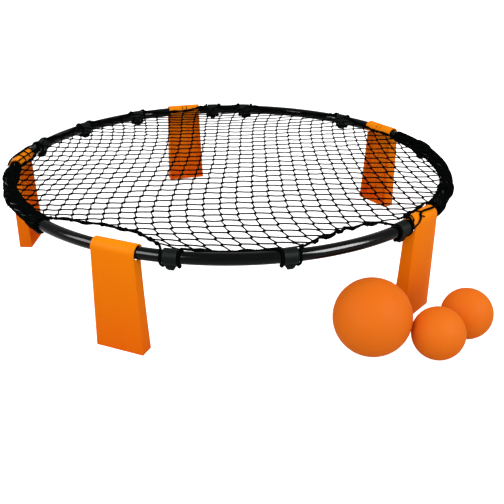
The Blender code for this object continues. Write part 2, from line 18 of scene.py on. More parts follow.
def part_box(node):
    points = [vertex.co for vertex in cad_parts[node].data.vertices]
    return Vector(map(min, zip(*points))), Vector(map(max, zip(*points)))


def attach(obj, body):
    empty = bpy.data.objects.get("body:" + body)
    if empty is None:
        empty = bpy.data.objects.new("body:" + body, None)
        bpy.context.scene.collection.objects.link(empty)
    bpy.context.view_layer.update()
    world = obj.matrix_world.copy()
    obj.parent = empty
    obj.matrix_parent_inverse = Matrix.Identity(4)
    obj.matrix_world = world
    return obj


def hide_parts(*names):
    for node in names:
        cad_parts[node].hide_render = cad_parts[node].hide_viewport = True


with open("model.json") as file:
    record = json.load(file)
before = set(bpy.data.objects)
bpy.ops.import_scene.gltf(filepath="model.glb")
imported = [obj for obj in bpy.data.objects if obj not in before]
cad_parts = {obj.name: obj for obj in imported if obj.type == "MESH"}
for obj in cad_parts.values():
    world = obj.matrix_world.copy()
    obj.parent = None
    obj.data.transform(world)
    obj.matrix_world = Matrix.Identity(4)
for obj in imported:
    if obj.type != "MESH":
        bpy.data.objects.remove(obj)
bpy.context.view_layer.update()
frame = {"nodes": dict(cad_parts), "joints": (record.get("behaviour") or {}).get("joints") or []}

# Every piece
SMOOTH_BELOW = 35.0             # degrees between two faces that are still shaded as one
EDGE_ANGLE = 30.0               # degrees between two faces, from where their edge is rounded
EDGE_SEGMENTS = 3               # of each rounded edge
FIT_GAP = 0.0003                # between faces that touch on the real set
WELD = 1e-6                     # points closer than this are one
ARCH_TOP = 4.0                  # brings the arch s (1 - s) to 1 at its top

# Rim
LEG_COUNT = 5                   # and as many tubes, each joined to the next inside a saddle
RIM_RADIUS = 0.4463             # centre of the rim to the middle of the tube
TUBE_RADIUS = 0.0107
TUBE_WALL = 0.0012
TUBE_SIDES = 48
TUBE_STEPS = 60                 # along one tube
JOINT_SLIT = 0.0004             # between the ends of two tubes
MOUTH_ROUND = 0.0004            # rounded edge at the end of a tube

# Facets of the solids, which set how wide the bores round a tube are
SOLID_TUBE_CHORDS = 14          # straight pieces along one tube
SOLID_TUBE_SIDES = 12
SOLID_SADDLE_STEPS = 11

# Legs
LEG_TOP_WIDTH = 0.0800
LEG_FOOT_WIDTH = 0.0912
LEG_WALL = 0.0028
LEG_EDGE = 0.0009               # radius of the moulding's edges
SADDLE_WRAP = 205.0             # degrees round the tube, from the outer panel to the inner lip
SADDLE_STEPS = 44
FLANGE_DEPTH_TOP = 0.0215       # from the outer face of the panel
FLANGE_DEPTH_FOOT = 0.0270
FLANGE_FLARE_POWER = 2.0        # how late the flare widens: 1 is a straight edge
FLANGE_STEPS = 24
CHEEK_TURNS = (75.0, 60.0, 45.0, 30.0)  # below level; here the side walls follow the tube
FOOT_EDGE_INSET = 0.0003        # foot plate's inner edge, behind the edges of the side walls
FOOT_RECESS = 0.0002            # of the foot plate, inside the rounded edges of the walls
SLOT_CENTRE = 0.0052            # the saddle's snap tongue lies between two slots
SLOT_WIDTH = 0.0024
SLOT_TURNS = (93.0, 149.0)      # where the slots run, round the tube from straight out
SADDLE_HIGHLIGHT_BELOW = 0.001             # height below the tube's middle where the painted highlight on a leg's saddle starts
SADDLE_HIGHLIGHT_ABOVE = 0.011             # height above it where the painted highlight is palest
RIB_OFFSET = 0.0140             # two low ribs on the inside of the panel
RIB_WIDTH = 0.0018
RIB_DEPTH = 0.0030
RIB_TOP_CLEARANCE = 0.012       # below the saddle's bore

# Net hooks
HOOK_COUNT = 15
HOOK_WIDTH = 0.024              # along the tube
HOOK_WALL = 0.0020
HOOK_TIP_WIDTH = 0.0090
HOOK_DROP = 0.0125              # tip of the hook below the tube
HOOK_LIP = 0.0018               # wall of the crook's inner lip
HOOK_STEM = 0.0058              # thickness of the hook outside the cord
HOOK_EDGE = 0.0006              # radius of the crook's edges
HOOK_SMOOTH_BELOW = 40.0        # as SMOOTH_BELOW, for the small faces of a hook
COLLAR_SIDES = 48
COLLAR_EDGE = 0.0007
COLLAR_LINES = 7                # grooves round the collar
COLLAR_LINE_DEPTH = 0.0002
# One groove across: the share of its pitch, and the share of its depth there.
COLLAR_LINE_SHAPE = ((0.25, 0.0), (0.40, 1.0), (0.60, 1.0), (0.75, 0.0))

# Border cord
CORD_RADIUS = 0.0022
CORD_SIDES = 14
CORD_STEP = 0.0016              # length of one ring of the cord's surface
CORD_CLEARANCE = 0.0004
CORD_BESIDE_HOOK = 0.0004       # between the end of a hook's collar and the cord
CORD_BEHIND_CORNER = 0.0012     # where the cord is behind the hook, before the collar's end
SADDLE_SHOULDER = 0.005         # length of cord that stays at the saddle's height past its end
SADDLE_RAMP = 0.010             # length of the cord's rise beside a saddle
SPAN_LEAD = 0.011               # from the cord's fall beside a hook to the open stretch
SPAN_POINT_EVERY = 0.006        # between the points of an open stretch
# How far the cord is drawn in from the tube between each hook and the next one.
SPAN_DEPTHS = (0.014, 0.048, 0.010, 0.009, 0.012, 0.030, 0.024, 0.014, 0.022,
               0.010, 0.010, 0.024, 0.006, 0.008, 0.060)
# The two deep stretches at the front: how far in the cord is, in millimetres, at each share of
# the way from one hook to the next.
SPAN_SHAPES = {
    1: ((0.0, 0.0), (0.09, 2.0), (0.22, 18.0), (0.30, 32.0), (0.37, 31.5), (0.50, 43.0),
        (0.63, 48.0), (0.76, 42.6), (0.86, 31.0), (0.93, 19.0), (1.0, 0.0)),
    14: ((0.0, 0.0), (0.10, 9.0), (0.20, 31.0), (0.39, 54.0), (0.58, 60.0), (0.70, 55.0),
         (0.83, 36.0), (0.90, 18.0), (1.0, 0.0)),
}
SLACK_SPAN = 1                  # this stretch is slack, and the net has drawn it into small waves
SLACK_WAVE = 0.023              # from one wave to the next
SLACK_HEIGHT = 0.0022
SLACK_RISE_PACE = 0.7           # its waves up and down, for each one sideways
HANG_POINTS = 4                 # places where the net may hang, for each step of the cord
HANG_INSET = 0.001              # it hangs only where the cord is that far inside the tube

# Net
NET_HEIGHT = 0.006              # net above the middle of the tube
TWINE_RADIUS = 0.00135
TWINE_SIDES = 6
TWINE_STEP = 0.009              # length of one ring of a strand's surface
TWINE_BOW = 0.0007              # most that a strand bends sideways
# Where the knots of the hung net lie, in millimetres right and up of the rim's centre, as a
# polynomial of how many tens of meshes they are right and up of the middle: the two powers
# and the two factors of each term.
NET_LIE_UNIT = 10               # meshes
NET_LIE = (
    (0, 0, 6.4, 3.9), (0, 1, 13.1, 285.2), (0, 2, -8.2, 5.2), (0, 3, -4.0, -9.5),
    (0, 4, 8.4, -2.7), (1, 0, 282.4, 35.1), (1, 1, -19.2, 8.5), (1, 2, 19.3, 2.5),
    (1, 3, 17.4, 4.0), (2, 0, -0.9, -1.6), (2, 1, -0.2, 12.2), (2, 2, 5.6, 8.0),
    (3, 0, -9.7, -4.0), (3, 1, 1.2, 0.0), (4, 0, 0.8, 0.7),
)
KNOT_INSET = 0.005              # least distance of a knot from the border cord
KNOT_HOLD = 0.7                 # how much a knot keeps its own place against its strands' pull
KNOT_SPREAD = 0.0052            # between the two ends of a knot, where its strands leave
KNOT_UNEVENNESS = 0.25          # every second knot is that much longer or shorter
KNOT_JITTER = 0.0007
KNOT_SIDES = 6
KNOT_RINGS = 6
KNOT_HALF_LENGTH = 0.0041
KNOT_GIRTH = 0.0027             # its radius where it is widest, before the turns of its twine
KNOT_FLATNESS = 0.85            # its thickness, as a share of its breadth
KNOT_BLUNTNESS = 0.7            # 1 is an oval, and less is blunter
KNOT_SWELL = 0.16               # how far the turns of its twine stand out
KNOT_TWIST = 2.4                # how far they wind round it; 2 is half a turn from end to end
HITCH_SIDES = 8
HITCH_SECTION = 3               # sides of its twine
HITCH_LIFT = 0.2                # of the twine's middle off the cord, as a share of its radius
HITCH_STEPS = ((5, 6), (11, 10))    # points of a hook's crossing between which a hitch sits
HITCH_SHARE = 0.6               # of the way from the first of them to the second
END_STEP = 0.1                  # share of a mesh; a strand is led to the cord in such steps
END_REACH = 1.6                 # longest way to the cord, in meshes
# Pull of a strand of one mesh that ends at the cord. A shorter one pulls more, up to 1, which is
# the pull between two knots.
END_PULL = 0.3
SELVEDGE_TURN = 0.07            # length of cord in which the net's edge strand goes round once
SELVEDGE_INSET = 0.006          # the strand is only where the cord is that far inside the tube
SELVEDGE_LIFT = 0.8             # of its middle off the cord, as a share of the twine's radius
SELVEDGE_POINTS = 4             # of the shortest piece of it
NET_SEED = 11
# Netting drawn tight along the tube: its first and last azimuth.
GATHERS = ((325.2, 386.6), (182.4, 224.6))
GATHER_STRANDS = 28             # side by side round the tube
GATHER_TURN = 0.30              # length of tube in which a strand goes round once
GATHER_STEP = 0.006             # between the points of a strand
GATHER_SCATTER = 4.0            # degrees that a strand starts beside its even place, at most
GATHER_SWAY = (3.0, 8.0)        # degrees that a strand sways, at least and at most
GATHER_SWAY_START = 6.3         # radians that its sway may be ahead at its start: once round
GATHER_SWAY_STEP = 0.35         # radians of its sway in one step
GATHER_SHOULDER = 0.003         # length of strand beside a hook that stays at its height
GATHER_RAMP = 0.012             # length of a strand's rise beside a hook
SADDLE_KNOT = 5                 # this point of the first strand over a saddle carries a knot
# Strands that cross a saddle: the leg, counted from 0, then for each point its place along the
# tube from the middle of the leg in millimetres, and its turn round the tube from straight out.
SADDLE_STRANDS = (
    (1, ((62, 62), (42, 60), (24, 68), (8, 79), (-4, 82), (-12, 66), (-18, 46), (-27, 28),
         (-46, 10))),
    (1, ((62, 55), (42, 54), (24, 62), (8, 74), (-5, 76), (-14, 61), (-21, 42), (-30, 24),
         (-46, 4))),
    (1, ((-38, 150), (-34, 115), (-31, 90), (-34, 62), (-44, 36))),
    (1, ((-14, 61), (-9, 50), (-7, 42))),
    (1, ((4, 160), (-1, 120), (-4, 82))),
    (4, ((58, 40), (40, 52), (24, 68), (8, 84), (-12, 93), (-38, 98), (-60, 106))),
    (4, ((58, 32), (40, 45), (22, 62), (6, 78), (-12, 87), (-38, 92), (-60, 98))),
    (4, ((56, 110), (36, 122), (12, 132), (-12, 138), (-36, 142), (-56, 146))),
    (4, ((12, 82), (16, 120), (20, 160))),
    (4, ((-12, 92), (-10, 125), (-8, 162))),
    (4, ((-36, 97), (-35, 130), (-34, 164))),
)

# Balls
BALL_SEGMENTS = 72
BALL_RINGS = 36
LARGE_BALL_WALL = 0.0030
SMALL_BALL_WALL = 0.0025
VALVE_RADIUS = 0.0026
VALVE_LENGTH = 0.0045
VALVE_SEGMENTS = 24
VALVE_EDGE = 0.0003
# The needle's dimple in a valve plug: distances from its axis, and depths.
VALVE_DIMPLE = ((0.0, 0.0012), (0.0006, 0.0009), (0.0009, 0.0002), (0.0012, 0.0))

# Camera, from the centre of the rim on the ground
CAMERA_BACK = 1.4480
CAMERA_UP = 0.6904
CAMERA_AIM = (0.0469, -0.0456)
CAMERA_ROLL = math.radians(0.445)
CAMERA_LENS = 51.24

# Studio
FLOOR_HALF = 9.0                # half the width of the floor
AIR_STRENGTH = 0.93             # the world's, as a light; where it is seen it is 1
# Soft lights: the name, the place, the point faced, the width and length, the watts, and whether
# it makes only gloss or only lights the surfaces.
LIGHTS = (
    ("light_above", (-0.40, -0.90, 2.20), (0.0, 0.0, 0.1), (2.2, 2.2), 13.0, False),
    ("light_front", (-0.50, -2.30, 1.80), (0.0, 0.0, 0.2), (1.6, 1.6), 8.0, False),
    ("light_low", (1.90, -1.50, 0.45), (0.1, -0.3, 0.1), (1.6, 0.8), 5.0, False),
    ("light_right", (1.60, -1.37, 1.25), (0.2, -0.4, 0.2), (1.0, 1.2), 430.0, True),
    ("light_left", (-1.70, -1.30, 1.45), (-0.2, -0.4, 0.2), (2.2, 1.2), 360.0, True),
)

# Sockets that share their name with others: the two colours and the result of a Mix node, and
# the two whole numbers of a Compare node.
COLOUR_A, COLOUR_B, MIXED = 6, 7, 2
NUMBER_A, NUMBER_B = 2, 3

# Sizes that follow from the ones above
CHORD_SAG = RIM_RADIUS * (1 - math.cos(math.pi / LEG_COUNT / SOLID_TUBE_CHORDS))
WRAP_CENTRE = RIM_RADIUS - CHORD_SAG / 2     # what goes round the tube is centred here
LEG_SAG = RIM_RADIUS - math.sqrt(RIM_RADIUS ** 2 - (LEG_TOP_WIDTH / 2) ** 2)
HINGE_RADIUS = RIM_RADIUS - LEG_SAG / 2
SADDLE_FACET = SADDLE_WRAP / SOLID_SADDLE_STEPS
SADDLE_REACH = TUBE_RADIUS + LEG_SAG / 2 + 1.5 * FIT_GAP     # to the flats of its bore
SADDLE_BORE = SADDLE_REACH / math.cos(math.radians(SADDLE_FACET / 2))
SADDLE_OUTER = SADDLE_BORE + LEG_WALL
HOOK_BORE = (TUBE_RADIUS + CHORD_SAG / 2 + FIT_GAP) / math.cos(math.pi / SOLID_TUBE_SIDES)
HOOK_OUTER = HOOK_BORE + HOOK_WALL
CORD_WRAP = TUBE_RADIUS + CHORD_SAG / 2 + CORD_CLEARANCE + CORD_RADIUS
CORD_UNDER_HOOK = HOOK_OUTER + CORD_CLEARANCE + CORD_RADIUS
CORD_OVER_SADDLE = SADDLE_OUTER + LEG_SAG / 2 + 2 * CORD_CLEARANCE + CORD_RADIUS
CORD_WRAP_OFFSET = HOOK_WIDTH / 2 + CORD_BESIDE_HOOK + CORD_RADIUS
# The cord at a hook, from the open stretch to the middle of the hook: where it is along the
# tube, its turn round the tube from straight out, and its distance from the tube's middle.
HOOK_CROSSING = (
    (-CORD_WRAP_OFFSET - 0.0045, 112.0, CORD_WRAP),
    (-CORD_WRAP_OFFSET - 0.0010, 78.0, CORD_WRAP),
    (-CORD_WRAP_OFFSET, 40.0, CORD_WRAP),
    (-CORD_WRAP_OFFSET, 0.0, CORD_WRAP),
    (-CORD_WRAP_OFFSET, -40.0, CORD_WRAP),
    (-CORD_WRAP_OFFSET + 0.0004, -74.0, (CORD_WRAP + CORD_UNDER_HOOK) / 2),
    (-HOOK_WIDTH / 2 - CORD_BEHIND_CORNER, -96.0, CORD_UNDER_HOOK),
    (-HOOK_WIDTH / 3, -99.5, CORD_UNDER_HOOK),
    (0.0, -99.5, CORD_UNDER_HOOK),
)


# ---------------------------------------------------------------- places from the frame

def leg_hinge(index):
    """A point on a leg's hinge and the unit vector that points outward there."""
    joint = next(j for j in frame["joints"] if j["name"] == f"leg_{index + 1}_fold")
    axis = Vector(joint["axis"])
    return Vector(joint["pos_m"]), Vector((axis.y, -axis.x, 0.0)).normalized()


def azimuth_of(vector):
    """Azimuth of a vector, 0 to 360 degrees."""
    return math.degrees(math.atan2(vector.y, vector.x)) % 360.0


HINGES = [leg_hinge(index) for index in range(LEG_COUNT)]
RIM_HEIGHT = HINGES[0][0].z
HINGE_CENTRES = [point - outward * HINGE_RADIUS for point, outward in HINGES]
RIM_CENTRE = sum(HINGE_CENTRES, Vector()) / LEG_COUNT
RIM_CENTRE.z = 0.0
LEG_AZIMUTHS = [azimuth_of(outward) for _, outward in HINGES]


def hook_azimuth(number):
    """Azimuth of the middle of a hook."""
    low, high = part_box(f"net_hook_{number:02d}")
    return azimuth_of((low + high) / 2 - RIM_CENTRE)


HOOK_AZIMUTHS = [hook_azimuth(number) for number in range(1, HOOK_COUNT + 1)]


def angle_between(first, second):
    """Degrees from one azimuth to another, from -180 to 180."""
    return (second - first + 180.0) % 360.0 - 180.0


def on_rim(azimuth, inward, height, reference=WRAP_CENTRE):
    """A point at an azimuth, measured inward and upward from the middle of the tube."""
    angle = math.radians(azimuth)
    radius = reference - inward
    return RIM_CENTRE + Vector((radius * math.cos(angle), radius * math.sin(angle),
                                RIM_HEIGHT + height))


def wound(azimuth, turn, distance):
    """A point round the tube: its turn is from straight out, over the top."""
    angle = math.radians(turn)
    return on_rim(azimuth, -distance * math.cos(angle), distance * math.sin(angle))


def rim_place(point):
    """A point's azimuth, and how far it is inward and upward from the middle of the tube."""
    flat = Vector((point.x - RIM_CENTRE.x, point.y - RIM_CENTRE.y))
    return azimuth_of(flat), WRAP_CENTRE - flat.length, point.z - RIM_HEIGHT


def length_along(degrees):
    """Length along the tube of so many degrees of azimuth."""
    return math.radians(degrees) * RIM_RADIUS


def degrees_along(length):
    """Degrees of azimuth in a length along the tube."""
    return math.degrees(length / RIM_RADIUS)


def clamped(share):
    """A share, kept from 0 to 1."""
    return min(1.0, max(0.0, share))


def standing(azimuth, radius, height):
    """Matrix of a piece whose +Y points outward and whose +X runs along the tube."""
    angle = math.radians(azimuth)
    place = RIM_CENTRE + Vector((radius * math.cos(angle), radius * math.sin(angle), height))
    return Matrix.Translation(place) @ Matrix.Rotation(angle - math.pi / 2, 4, "Z")


# ---------------------------------------------------------------- building tools

def add_object(name, data, material=None):
    """Put a mesh, a light or a camera in the scene at the origin."""
    obj = bpy.data.objects.new(name, data)
    bpy.context.scene.collection.objects.link(obj)
    if material is not None:
        data.materials.clear()
        data.materials.append(material)
    return obj


def evaluated(obj):
    """The object's mesh with its modifiers applied; the object itself is removed."""
    bpy.context.view_layer.update()
    graph = bpy.context.evaluated_depsgraph_get()
    mesh = bpy.data.meshes.new_from_object(obj.evaluated_get(graph))
    mesh.name = obj.name
    bpy.data.objects.remove(obj, do_unlink=True)
    return mesh


def smooth(mesh, below=SMOOTH_BELOW):
    """Smooth shading below an angle between two faces, and a sharp edge from there on."""
    mesh.shade_smooth()
    mesh.set_sharp_from_angle(angle=math.radians(below))
    return mesh


def mesh_from(name, points, faces):
    """A mesh whose faces all point out."""
    mesh = bpy.data.meshes.new(name)
    mesh.from_pydata([tuple(p) for p in points], [], faces)
    work = bmesh.new()
    work.from_mesh(mesh)
    bmesh.ops.recalc_face_normals(work, faces=work.faces)
    work.to_mesh(mesh)
    work.free()
    return mesh


def circle(radius, sides):
    """Points round a circle, as pairs of coordinates in its plane."""
    turns = [2 * math.pi * k / sides for k in range(sides)]
    return [(radius * math.cos(turn), radius * math.sin(turn)) for turn in turns]


def ring_faces(rings, sides, first=0):
    """Faces that join each ring of points to the next one, and the last to the first."""
    faces = []
    for k in range(rings):
        here, following = first + k * sides, first + (k + 1) % rings * sides
        for i in range(sides):
            j = (i + 1) % sides
            faces.append((here + i, here + j, following + j, following + i))
    return faces


def prism_faces(count):
    """Sides and ends of a prism whose points are one outline and then the other."""
    faces = [(i, (i + 1) % count, count + (i + 1) % count, count + i) for i in range(count)]
    return faces + [tuple(range(count)), tuple(range(count, 2 * count))]


def prism(name, outline, low, high):
    """An outline of (y, z) points drawn along x from low to high."""
    points = [(x, y, z) for x in (low, high) for y, z in outline]
    return mesh_from(name, points, prism_faces(len(outline)))


def modified(mesh, kind, **settings):
    """The mesh as a modifier with these settings leaves it."""
    obj = add_object(mesh.name, mesh)
    step = obj.modifiers.new(kind.lower(), kind)
    for name, value in settings.items():
        setattr(step, name, value)
    return evaluated(obj)


def boolean(base, cutter, operation):
    """The base mesh joined with, or cut by, another mesh."""
    other = add_object(cutter.name + "_cutter", cutter)
    mesh = modified(base, "BOOLEAN", operation=operation, object=other)
    bpy.data.objects.remove(other, do_unlink=True)
    return mesh


def bevelled(mesh, width):
    """The mesh with its edges rounded."""
    return modified(mesh, "BEVEL", width=width, segments=EDGE_SEGMENTS, limit_method="ANGLE",
                    angle_limit=math.radians(EDGE_ANGLE))


def set_inputs(tree, node, inputs):
    """Give a node's inputs their values, or links from other nodes' sockets."""
    for name, value in inputs.items():
        if isinstance(value, bpy.types.NodeSocket):
            tree.links.new(value, node.inputs[name])
        else:
            node.inputs[name].default_value = value


def add_node(tree, kind, inputs=None, **settings):
    """A node of a tree. Its inputs go by name, or by number where sockets share a name."""
    node = tree.nodes.new(kind)
    for name, value in settings.items():
        setattr(node, name, value)
    set_inputs(tree, node, inputs or {})
    return node


def hand_in(obj, body, slot, *nodes):
    """Put a finished piece on its body and hide the solids it stands for; its slot is not used.
    """
    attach(obj, body)
    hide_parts(*nodes)


# ---------------------------------------------------------------- materials

def linear(colour):
    """Linear RGBA of an sRGB hex colour."""
    values = [int(colour[k:k + 2], 16) / 255 for k in (1, 3, 5)]
    return (*[v / 12.92 if v <= 0.04045 else ((v + 0.055) / 1.055) ** 2.4 for v in values], 1.0)


def new_material(name):
    """An empty node material with its Principled shader and Object coordinates.

    The coordinates are metres, so a pattern's scale is the number of its marks in a metre."""
    material = bpy.data.materials.new(name)
    material.use_nodes = True
    tree = material.node_tree
    shader = tree.nodes["Principled BSDF"]
    coordinates = add_node(tree, "ShaderNodeTexCoord").outputs["Object"]
    return material, tree, shader, coordinates


def enamelled_steel():
    """Stove enamel on steel tube: near black and glossy, with the faint ripple of the coat."""
    material, tree, shader, place = new_material("enamelled_steel")
    # dust, drawn as clouds of 17 mm, because its specks are too fine to show
    dust = add_node(tree, "ShaderNodeTexNoise", {
        "Vector": place, "Scale": 60.0, "Detail": 4.0})
    colour = add_node(tree, "ShaderNodeMix", {
        "Factor": dust.outputs["Fac"], COLOUR_A: linear("#010202"),
        COLOUR_B: linear("#040606")}, data_type="RGBA")
    # the ripple of sprayed enamel, 3.3 mm from crest to crest
    ripple = add_node(tree, "ShaderNodeTexNoise", {
        "Vector": place, "Scale": 300.0, "Detail": 2.0})
    bump = add_node(tree, "ShaderNodeBump", {
        "Height": ripple.outputs["Fac"], "Strength": 0.05, "Distance": 0.0005})
    rough = add_node(tree, "ShaderNodeMapRange", {
        "Value": dust.outputs["Fac"], "To Min": 0.10, "To Max": 0.18})
    set_inputs(tree, shader, {
        "Base Color": colour.outputs[MIXED], "Roughness": rough.outputs["Result"],
        "Normal": bump.outputs["Normal"], "Specular IOR Level": 0.06})
    return material


def zinc_plated_steel():
    """Zinc-plated steel: a grey metal whose gloss varies with the grain of the plating."""
    material, tree, shader, place = new_material("zinc_plated_steel")
    # the plating's grain, a tenth of a millimetre, drawn at 1.1 mm so that it shows close up
    grain = add_node(tree, "ShaderNodeTexNoise", {
        "Vector": place, "Scale": 900.0, "Detail": 3.0})
    rough = add_node(tree, "ShaderNodeMapRange", {
        "Value": grain.outputs["Fac"], "To Min": 0.28, "To Max": 0.48})
    set_inputs(tree, shader, {
        "Base Color": linear("#b4b6b8"), "Metallic": 1.0, "Roughness": rough.outputs["Result"]})
    return material


def moulded_polypropylene():
    """Injection-moulded polypropylene: warm orange, satin, with a fine eroded skin.

    It is painted paler towards the top of a leg, as light falling from above, and palest where
    the saddle bulges over the tube, as a painted highlight.
    """
    material, tree, shader, place = new_material("moulded_polypropylene")
    height = add_node(tree, "ShaderNodeSeparateXYZ", {"Vector": place}).outputs["Z"]
    # painted light: paler from the ground up to the rim, as light from above, and darker at the
    # foot as shade
    lift = add_node(tree, "ShaderNodeMapRange", {
        "Value": height, "From Min": 0.0, "From Max": RIM_HEIGHT})
    # painted highlight: paler still over the saddle's crown, as light from above
    painted_highlight = add_node(tree, "ShaderNodeMapRange", {
        "Value": height, "From Min": RIM_HEIGHT - SADDLE_HIGHLIGHT_BELOW,
        "From Max": RIM_HEIGHT + SADDLE_HIGHLIGHT_ABOVE})
    base = add_node(tree, "ShaderNodeMix", {
        "Factor": lift.outputs["Result"], COLOUR_A: linear("#e8680a"),
        COLOUR_B: linear("#f08008")}, data_type="RGBA")
    base = add_node(tree, "ShaderNodeMix", {
        "Factor": painted_highlight.outputs["Result"], COLOUR_A: base.outputs[MIXED],
        COLOUR_B: linear("#f0880a")}, data_type="RGBA")
    # flow marks of the melt, 45 mm apart
    flow = add_node(tree, "ShaderNodeTexNoise", {
        "Vector": place, "Scale": 22.0, "Detail": 3.0})
    blend = add_node(tree, "ShaderNodeMapRange", {
        "Value": flow.outputs["Fac"], "To Min": 0.0, "To Max": 0.18})
    colour = add_node(tree, "ShaderNodeMix", {
        "Factor": blend.outputs["Result"], COLOUR_A: base.outputs[MIXED],
        COLOUR_B: linear("#e06208")}, data_type="RGBA")
    # the eroded mould's grain, a tenth of a millimetre, drawn at 0.6 mm so that it shows close
    # up, while the walls still look plain from afar
    skin = add_node(tree, "ShaderNodeTexNoise", {
        "Vector": place, "Scale": 1600.0, "Detail": 2.0})
    bump = add_node(tree, "ShaderNodeBump", {
        "Height": skin.outputs["Fac"], "Strength": 0.12, "Distance": 0.0002})
    rough = add_node(tree, "ShaderNodeMapRange", {
        "Value": flow.outputs["Fac"], "To Min": 0.40, "To Max": 0.52})
    set_inputs(tree, shader, {
        "Base Color": colour.outputs[MIXED], "Roughness": rough.outputs["Result"],
        "Normal": bump.outputs["Normal"], "Specular IOR Level": 0.006})
    return material


def moulded_nylon():
    """Glass-filled nylon: dark green-grey, half matt, mottled where the glass meets the skin."""
    material, tree, shader, place = new_material("moulded_nylon")
    # glass fibres, 0.3 mm long, drawn as specks of 2.4 mm so that they show
    specks = add_node(tree, "ShaderNodeTexNoise", {
        "Vector": place, "Scale": 420.0, "Detail": 3.0})
    colour = add_node(tree, "ShaderNodeMix", {
        "Factor": specks.outputs["Fac"], COLOUR_A: linear("#0b0f0d"),
        COLOUR_B: linear("#181f1c")}, data_type="RGBA")
    bump = add_node(tree, "ShaderNodeBump", {
        "Height": specks.outputs["Fac"], "Strength": 0.15, "Distance": 0.0003})
    rough = add_node(tree, "ShaderNodeMapRange", {
        "Value": specks.outputs["Fac"], "To Min": 0.38, "To Max": 0.55})
    set_inputs(tree, shader, {
        "Base Color": colour.outputs[MIXED], "Roughness": rough.outputs["Result"],
        "Normal": bump.outputs["Normal"], "Specular IOR Level": 0.015})
    return material


def polyester_yarn(name, lay, plies, depth):
    """Black polyester yarn: matt, and ridged by plies that go round once in the lay's length.

    Two plies are twisted. More of them run both ways and cross, as in a braid. The grooves
    between the plies are painted darker than their crests, as shade.
    """
    material, tree, shader, _ = new_material(name)
    around = add_node(tree, "ShaderNodeAttribute", attribute_name="around").outputs["Vector"]
    along = add_node(tree, "ShaderNodeAttribute", attribute_name="along").outputs["Fac"]
    split = add_node(tree, "ShaderNodeSeparateXYZ", {"Vector": around})
    turn = add_node(tree, "ShaderNodeMath", {0: split.outputs["Y"], 1: split.outputs["X"]},
                    operation="ARCTAN2")
    run = add_node(tree, "ShaderNodeMath", {0: along, 1: 2 * math.pi / lay},
                   operation="MULTIPLY")
    ways = ("ADD", "SUBTRACT") if plies > 2 else ("ADD",)
    heights = []
    for operation in ways:
        phase = add_node(tree, "ShaderNodeMath", {0: run.outputs[0], 1: turn.outputs[0]},
                         operation=operation)
        many = add_node(tree, "ShaderNodeMath", {0: phase.outputs[0], 1: float(plies)},
                        operation="MULTIPLY")
        heights.append(add_node(tree, "ShaderNodeMath", {0: many.outputs[0]},
                                operation="SINE").outputs[0])
    height = heights[0]
    if len(ways) == 2:
        height = add_node(tree, "ShaderNodeMath", {0: heights[0], 1: heights[1]},
                          operation="MAXIMUM").outputs[0]
    bump = add_node(tree, "ShaderNodeBump", {
        "Height": height, "Strength": 0.8, "Distance": depth})
    # painted shade: darker in the grooves between the plies, paler on their crests
    groove_shade = add_node(tree, "ShaderNodeMapRange", {"Value": height, "From Min": -1.0})
    colour = add_node(tree, "ShaderNodeMix", {
        "Factor": groove_shade.outputs["Result"], COLOUR_A: linear("#020303"),
        COLOUR_B: linear("#070909")}, data_type="RGBA")
    set_inputs(tree, shader, {
        "Base Color": colour.outputs[MIXED], "Normal": bump.outputs["Normal"],
        "Roughness": 1.0, "Specular IOR Level": 0.003})
    return material


def inflated_rubber():
    """Moulded rubber: plain orange and matt, with a fine pebbled skin and soft mottling."""
    material, tree, shader, place = new_material("inflated_rubber")
    # the mottling that handling leaves, in patches of 70 mm
    cloud = add_node(tree, "ShaderNodeTexNoise", {
        "Vector": place, "Scale": 14.0, "Detail": 2.0})
    colour = add_node(tree, "ShaderNodeMix", {
        "Factor": cloud.outputs["Fac"], COLOUR_A: linear("#dd6612"),
        COLOUR_B: linear("#e37420")}, data_type="RGBA")
    # pebbles 1.1 mm apart, their real size, which shows close up
    pebble = add_node(tree, "ShaderNodeTexVoronoi", {"Vector": place, "Scale": 900.0})
    bump = add_node(tree, "ShaderNodeBump", {
        "Height": pebble.outputs["Distance"], "Strength": 0.10, "Distance": 0.0003})
    set_inputs(tree, shader, {
        "Base Color": colour.outputs[MIXED], "Normal": bump.outputs["Normal"],
        "Roughness": 0.55, "Specular IOR Level": 0.006})
    return material


def valve_rubber():
    """Soft black rubber of the valve plugs: dull, with a grey bloom in fine grains."""
    material, tree, shader, place = new_material("soft_black_rubber")
    # grains of 0.8 mm
    grain = add_node(tree, "ShaderNodeTexNoise", {"Vector": place, "Scale": 1200.0})
    colour = add_node(tree, "ShaderNodeMix", {
        "Factor": grain.outputs["Fac"], COLOUR_A: linear("#141414"),
        COLOUR_B: linear("#262626")}, data_type="RGBA")
    set_inputs(tree, shader, {"Base Color": colour.outputs[MIXED], "Roughness": 0.7})
    return material


# ---------------------------------------------------------------- rim

def tube_mesh(index):
    """One rim tube with a rounded mouth at each end."""
    start = LEG_AZIMUTHS[index]
    width = (LEG_AZIMUTHS[(index + 1) % LEG_COUNT] - start) % 360.0
    slit = degrees_along(JOINT_SLIT / 2)
    lip = degrees_along(MOUTH_ROUND)
    inner = TUBE_RADIUS - TUBE_WALL
    first, last = start + slit, start + width - slit
    rings = [(first, inner), (first, TUBE_RADIUS - MOUTH_ROUND), (first + lip, TUBE_RADIUS)]
    rings += [(first + lip + (last - first - 2 * lip) * k / TUBE_STEPS, TUBE_RADIUS)
              for k in range(1, TUBE_STEPS)]
    rings += [(last - lip, TUBE_RADIUS), (last, TUBE_RADIUS - MOUTH_ROUND), (last, inner)]
    rings += [(last + (first - last) * k / TUBE_STEPS, inner) for k in range(1, TUBE_STEPS)]
    points = []
    for azimuth, radius in rings:
        points += [on_rim(azimuth, -y, z, RIM_RADIUS) for y, z in circle(radius, TUBE_SIDES)]
    return smooth(mesh_from(f"tube_{index + 1}", points, ring_faces(len(rings), TUBE_SIDES)))


